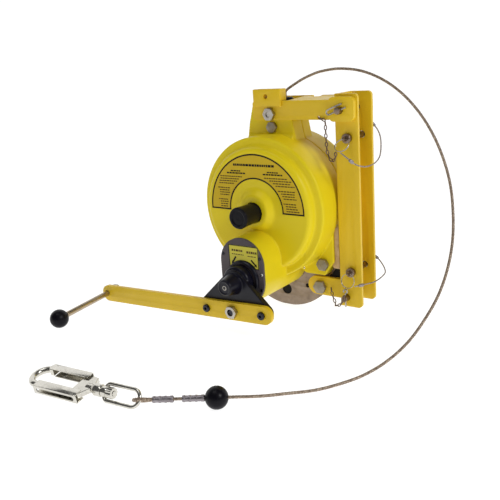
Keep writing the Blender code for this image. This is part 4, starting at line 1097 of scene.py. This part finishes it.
def half_ring(inset):
    """The label's outline, a half ring on short legs."""
    foot, inner, outer = -0.0024 + inset, LABEL_INNER + inset, LABEL_OUTER - inset
    return [(-inner, foot), (-outer, foot), *arc(0, 0, outer, 180, 0, 120), (outer, foot), (inner, foot),
            *arc(0, 0, inner, 0, 180, 120)]


def broken_row(x0, x1, z, height, source):
    """A row of text as bars of word length."""
    row, x = [], x0
    while x < x1 - 0.0012:
        end = min(x + source.uniform(0.0022, 0.0052), x1)
        row.append([[(x, z), (end, z), (end, z + height), (x, z + height)]])
        x = end + 0.0009
    return row


def half_ring_span(z, side, margin=0.0042):
    """Where a level row at z runs between the two arcs of the label's left (-1) or right (1) half."""
    outer, inner = LABEL_OUTER - margin, LABEL_INNER + margin
    reach = sqrt(outer ** 2 - z ** 2)
    start = sqrt(max(inner ** 2 - z ** 2, 0)) if abs(z) < inner else 0.003
    return (start, reach) if side > 0 else (-reach, -start)


def make_cover_label():
    """A half ring with a heading, two subheads and blocks of rows down both legs, all as plain bars."""
    y, source = -0.0003, random.Random(4)
    show("cover_label", front_plate([half_ring(0)], y, 0.0002), "label", slot_name="housing_yellow")
    bold, faint = [[half_ring(0), half_ring(0.0022)]], []
    bold += broken_row(-0.037, 0.037, 0.0655, 0.0034, source)
    for middle in (-0.033, 0.033):
        bold += broken_row(middle - 0.0095, middle + 0.0095, 0.057, 0.0019, source)
        bold += broken_row(middle - 0.017, middle + 0.017, 0.0535, 0.0022, source)
    for side in (-1, 1):
        for top in (0.0485, 0.0305, 0.0125):
            for k in range(4):
                z = top - 0.0036 * k
                low, high = half_ring_span(z, side)
                indent = 0.003 if k else 0.0
                low = max(low, -0.069 if side < 0 else 0.018)
                high = min(high, 0.076 if side > 0 else -0.018)
                high -= source.uniform(0, 0.006)
                faint += broken_row(low + indent, high, z, 0.0016, source)
    show("cover_label_ink", printed(bold, y), "ink", slot_name="black_plastic")
    show("cover_label_rows", printed(faint, y), "faded_ink", slot_name="black_plastic")


def sticker_outline(inset):
    """A panel whose foot bends round the crank's collar."""
    low, high, left, right = -0.0762 + inset, -0.0422 - inset, -0.0222 + inset, 0.0312 - inset
    radius = 0.0285 + inset
    reach = degrees(acos((low - CRANK_Z) / radius))
    return [(left, low), *arc(0.003, CRANK_Z, radius, 90 + reach, 90 - reach, 24), (right, low),
            (right, high), (left, high)]


def arrow(x0, z0, x1, z1, half=0.0013):
    """A short bar whose last third is a head."""
    start, end = Vector((x0, z0)), Vector((x1, z1))
    ahead = (end - start).normalized()
    side = Vector((-ahead.y, ahead.x))
    neck = end - ahead * 0.0048
    return [tuple(p) for p in (start + side * half, neck + side * half, neck + side * half * 2, end,
                               neck - side * half * 2, neck - side * half, start - side * half)]


def make_gearbox_sticker():
    """A panel with two headings as bars and two arrows round the shaft."""
    y, source = PLATE_FRONT - 0.0003, random.Random(7)
    panel = front_plate([sticker_outline(0)], y, PLATE_FRONT + 0.0002)
    show("gearbox_sticker", panel, "sticker", slot_name="housing_yellow")
    ink = [[sticker_outline(0), sticker_outline(0.0013)], [arrow(-0.0095, -0.06, -0.0178, -0.0722)],
           [arrow(0.0178, -0.0625, 0.0282, -0.0728)]]
    show("gearbox_sticker_ink", printed(ink, y), "ink", slot_name="black_plastic")
    rows = []
    for row in ((-0.0165, 0.003, -0.052, 0.003), (0.0105, 0.0285, -0.053, 0.0034),
                (-0.0165, 0.005, -0.057, 0.0013), (0.012, 0.027, -0.0578, 0.0013)):
        rows += broken_row(*row, source)
    show("gearbox_sticker_rows", printed(rows, y), "faded_ink", slot_name="black_plastic")


def finish_inner_parts():
    finish_node("drum_aluminium", "drum")
    finish_node("rope_wire", "wound_rope")
    finish_node("bearing_bronze", "drum_bearing")
    finish_node("shaft_steel", "drum_shaft", "crank_shaft", "drum_gear", "pinion", "clutch_ring")
    finish_node("ratchet_steel", "ratchet_ring", "pawl_a", "pawl_b", "load_ratchet", "load_pawl")
    finish_node("friction_lining", "brake_disc")
    finish_node("spring_steel", "power_spring")


make_camera()
LOOKS = make_looks()
ROPE, PATH, LENGTH = make_rope()
ON_ROPE = make_rope_end() + [make_bail()]
make_hook()
make_front_cover()
make_rear_housing()
make_frame_plate()
make_gearbox_front()
make_rope_outlet()
make_leg_channel()
make_arms()
make_bolts()
make_clevis_pins()
make_detent_pins()
make_lanyards_and_chains()
make_shift_knob()
make_crank_hub()
make_crank_arm()
make_handle()
make_cover_label()
make_gearbox_sticker()
finish_inner_parts()
make_studio()
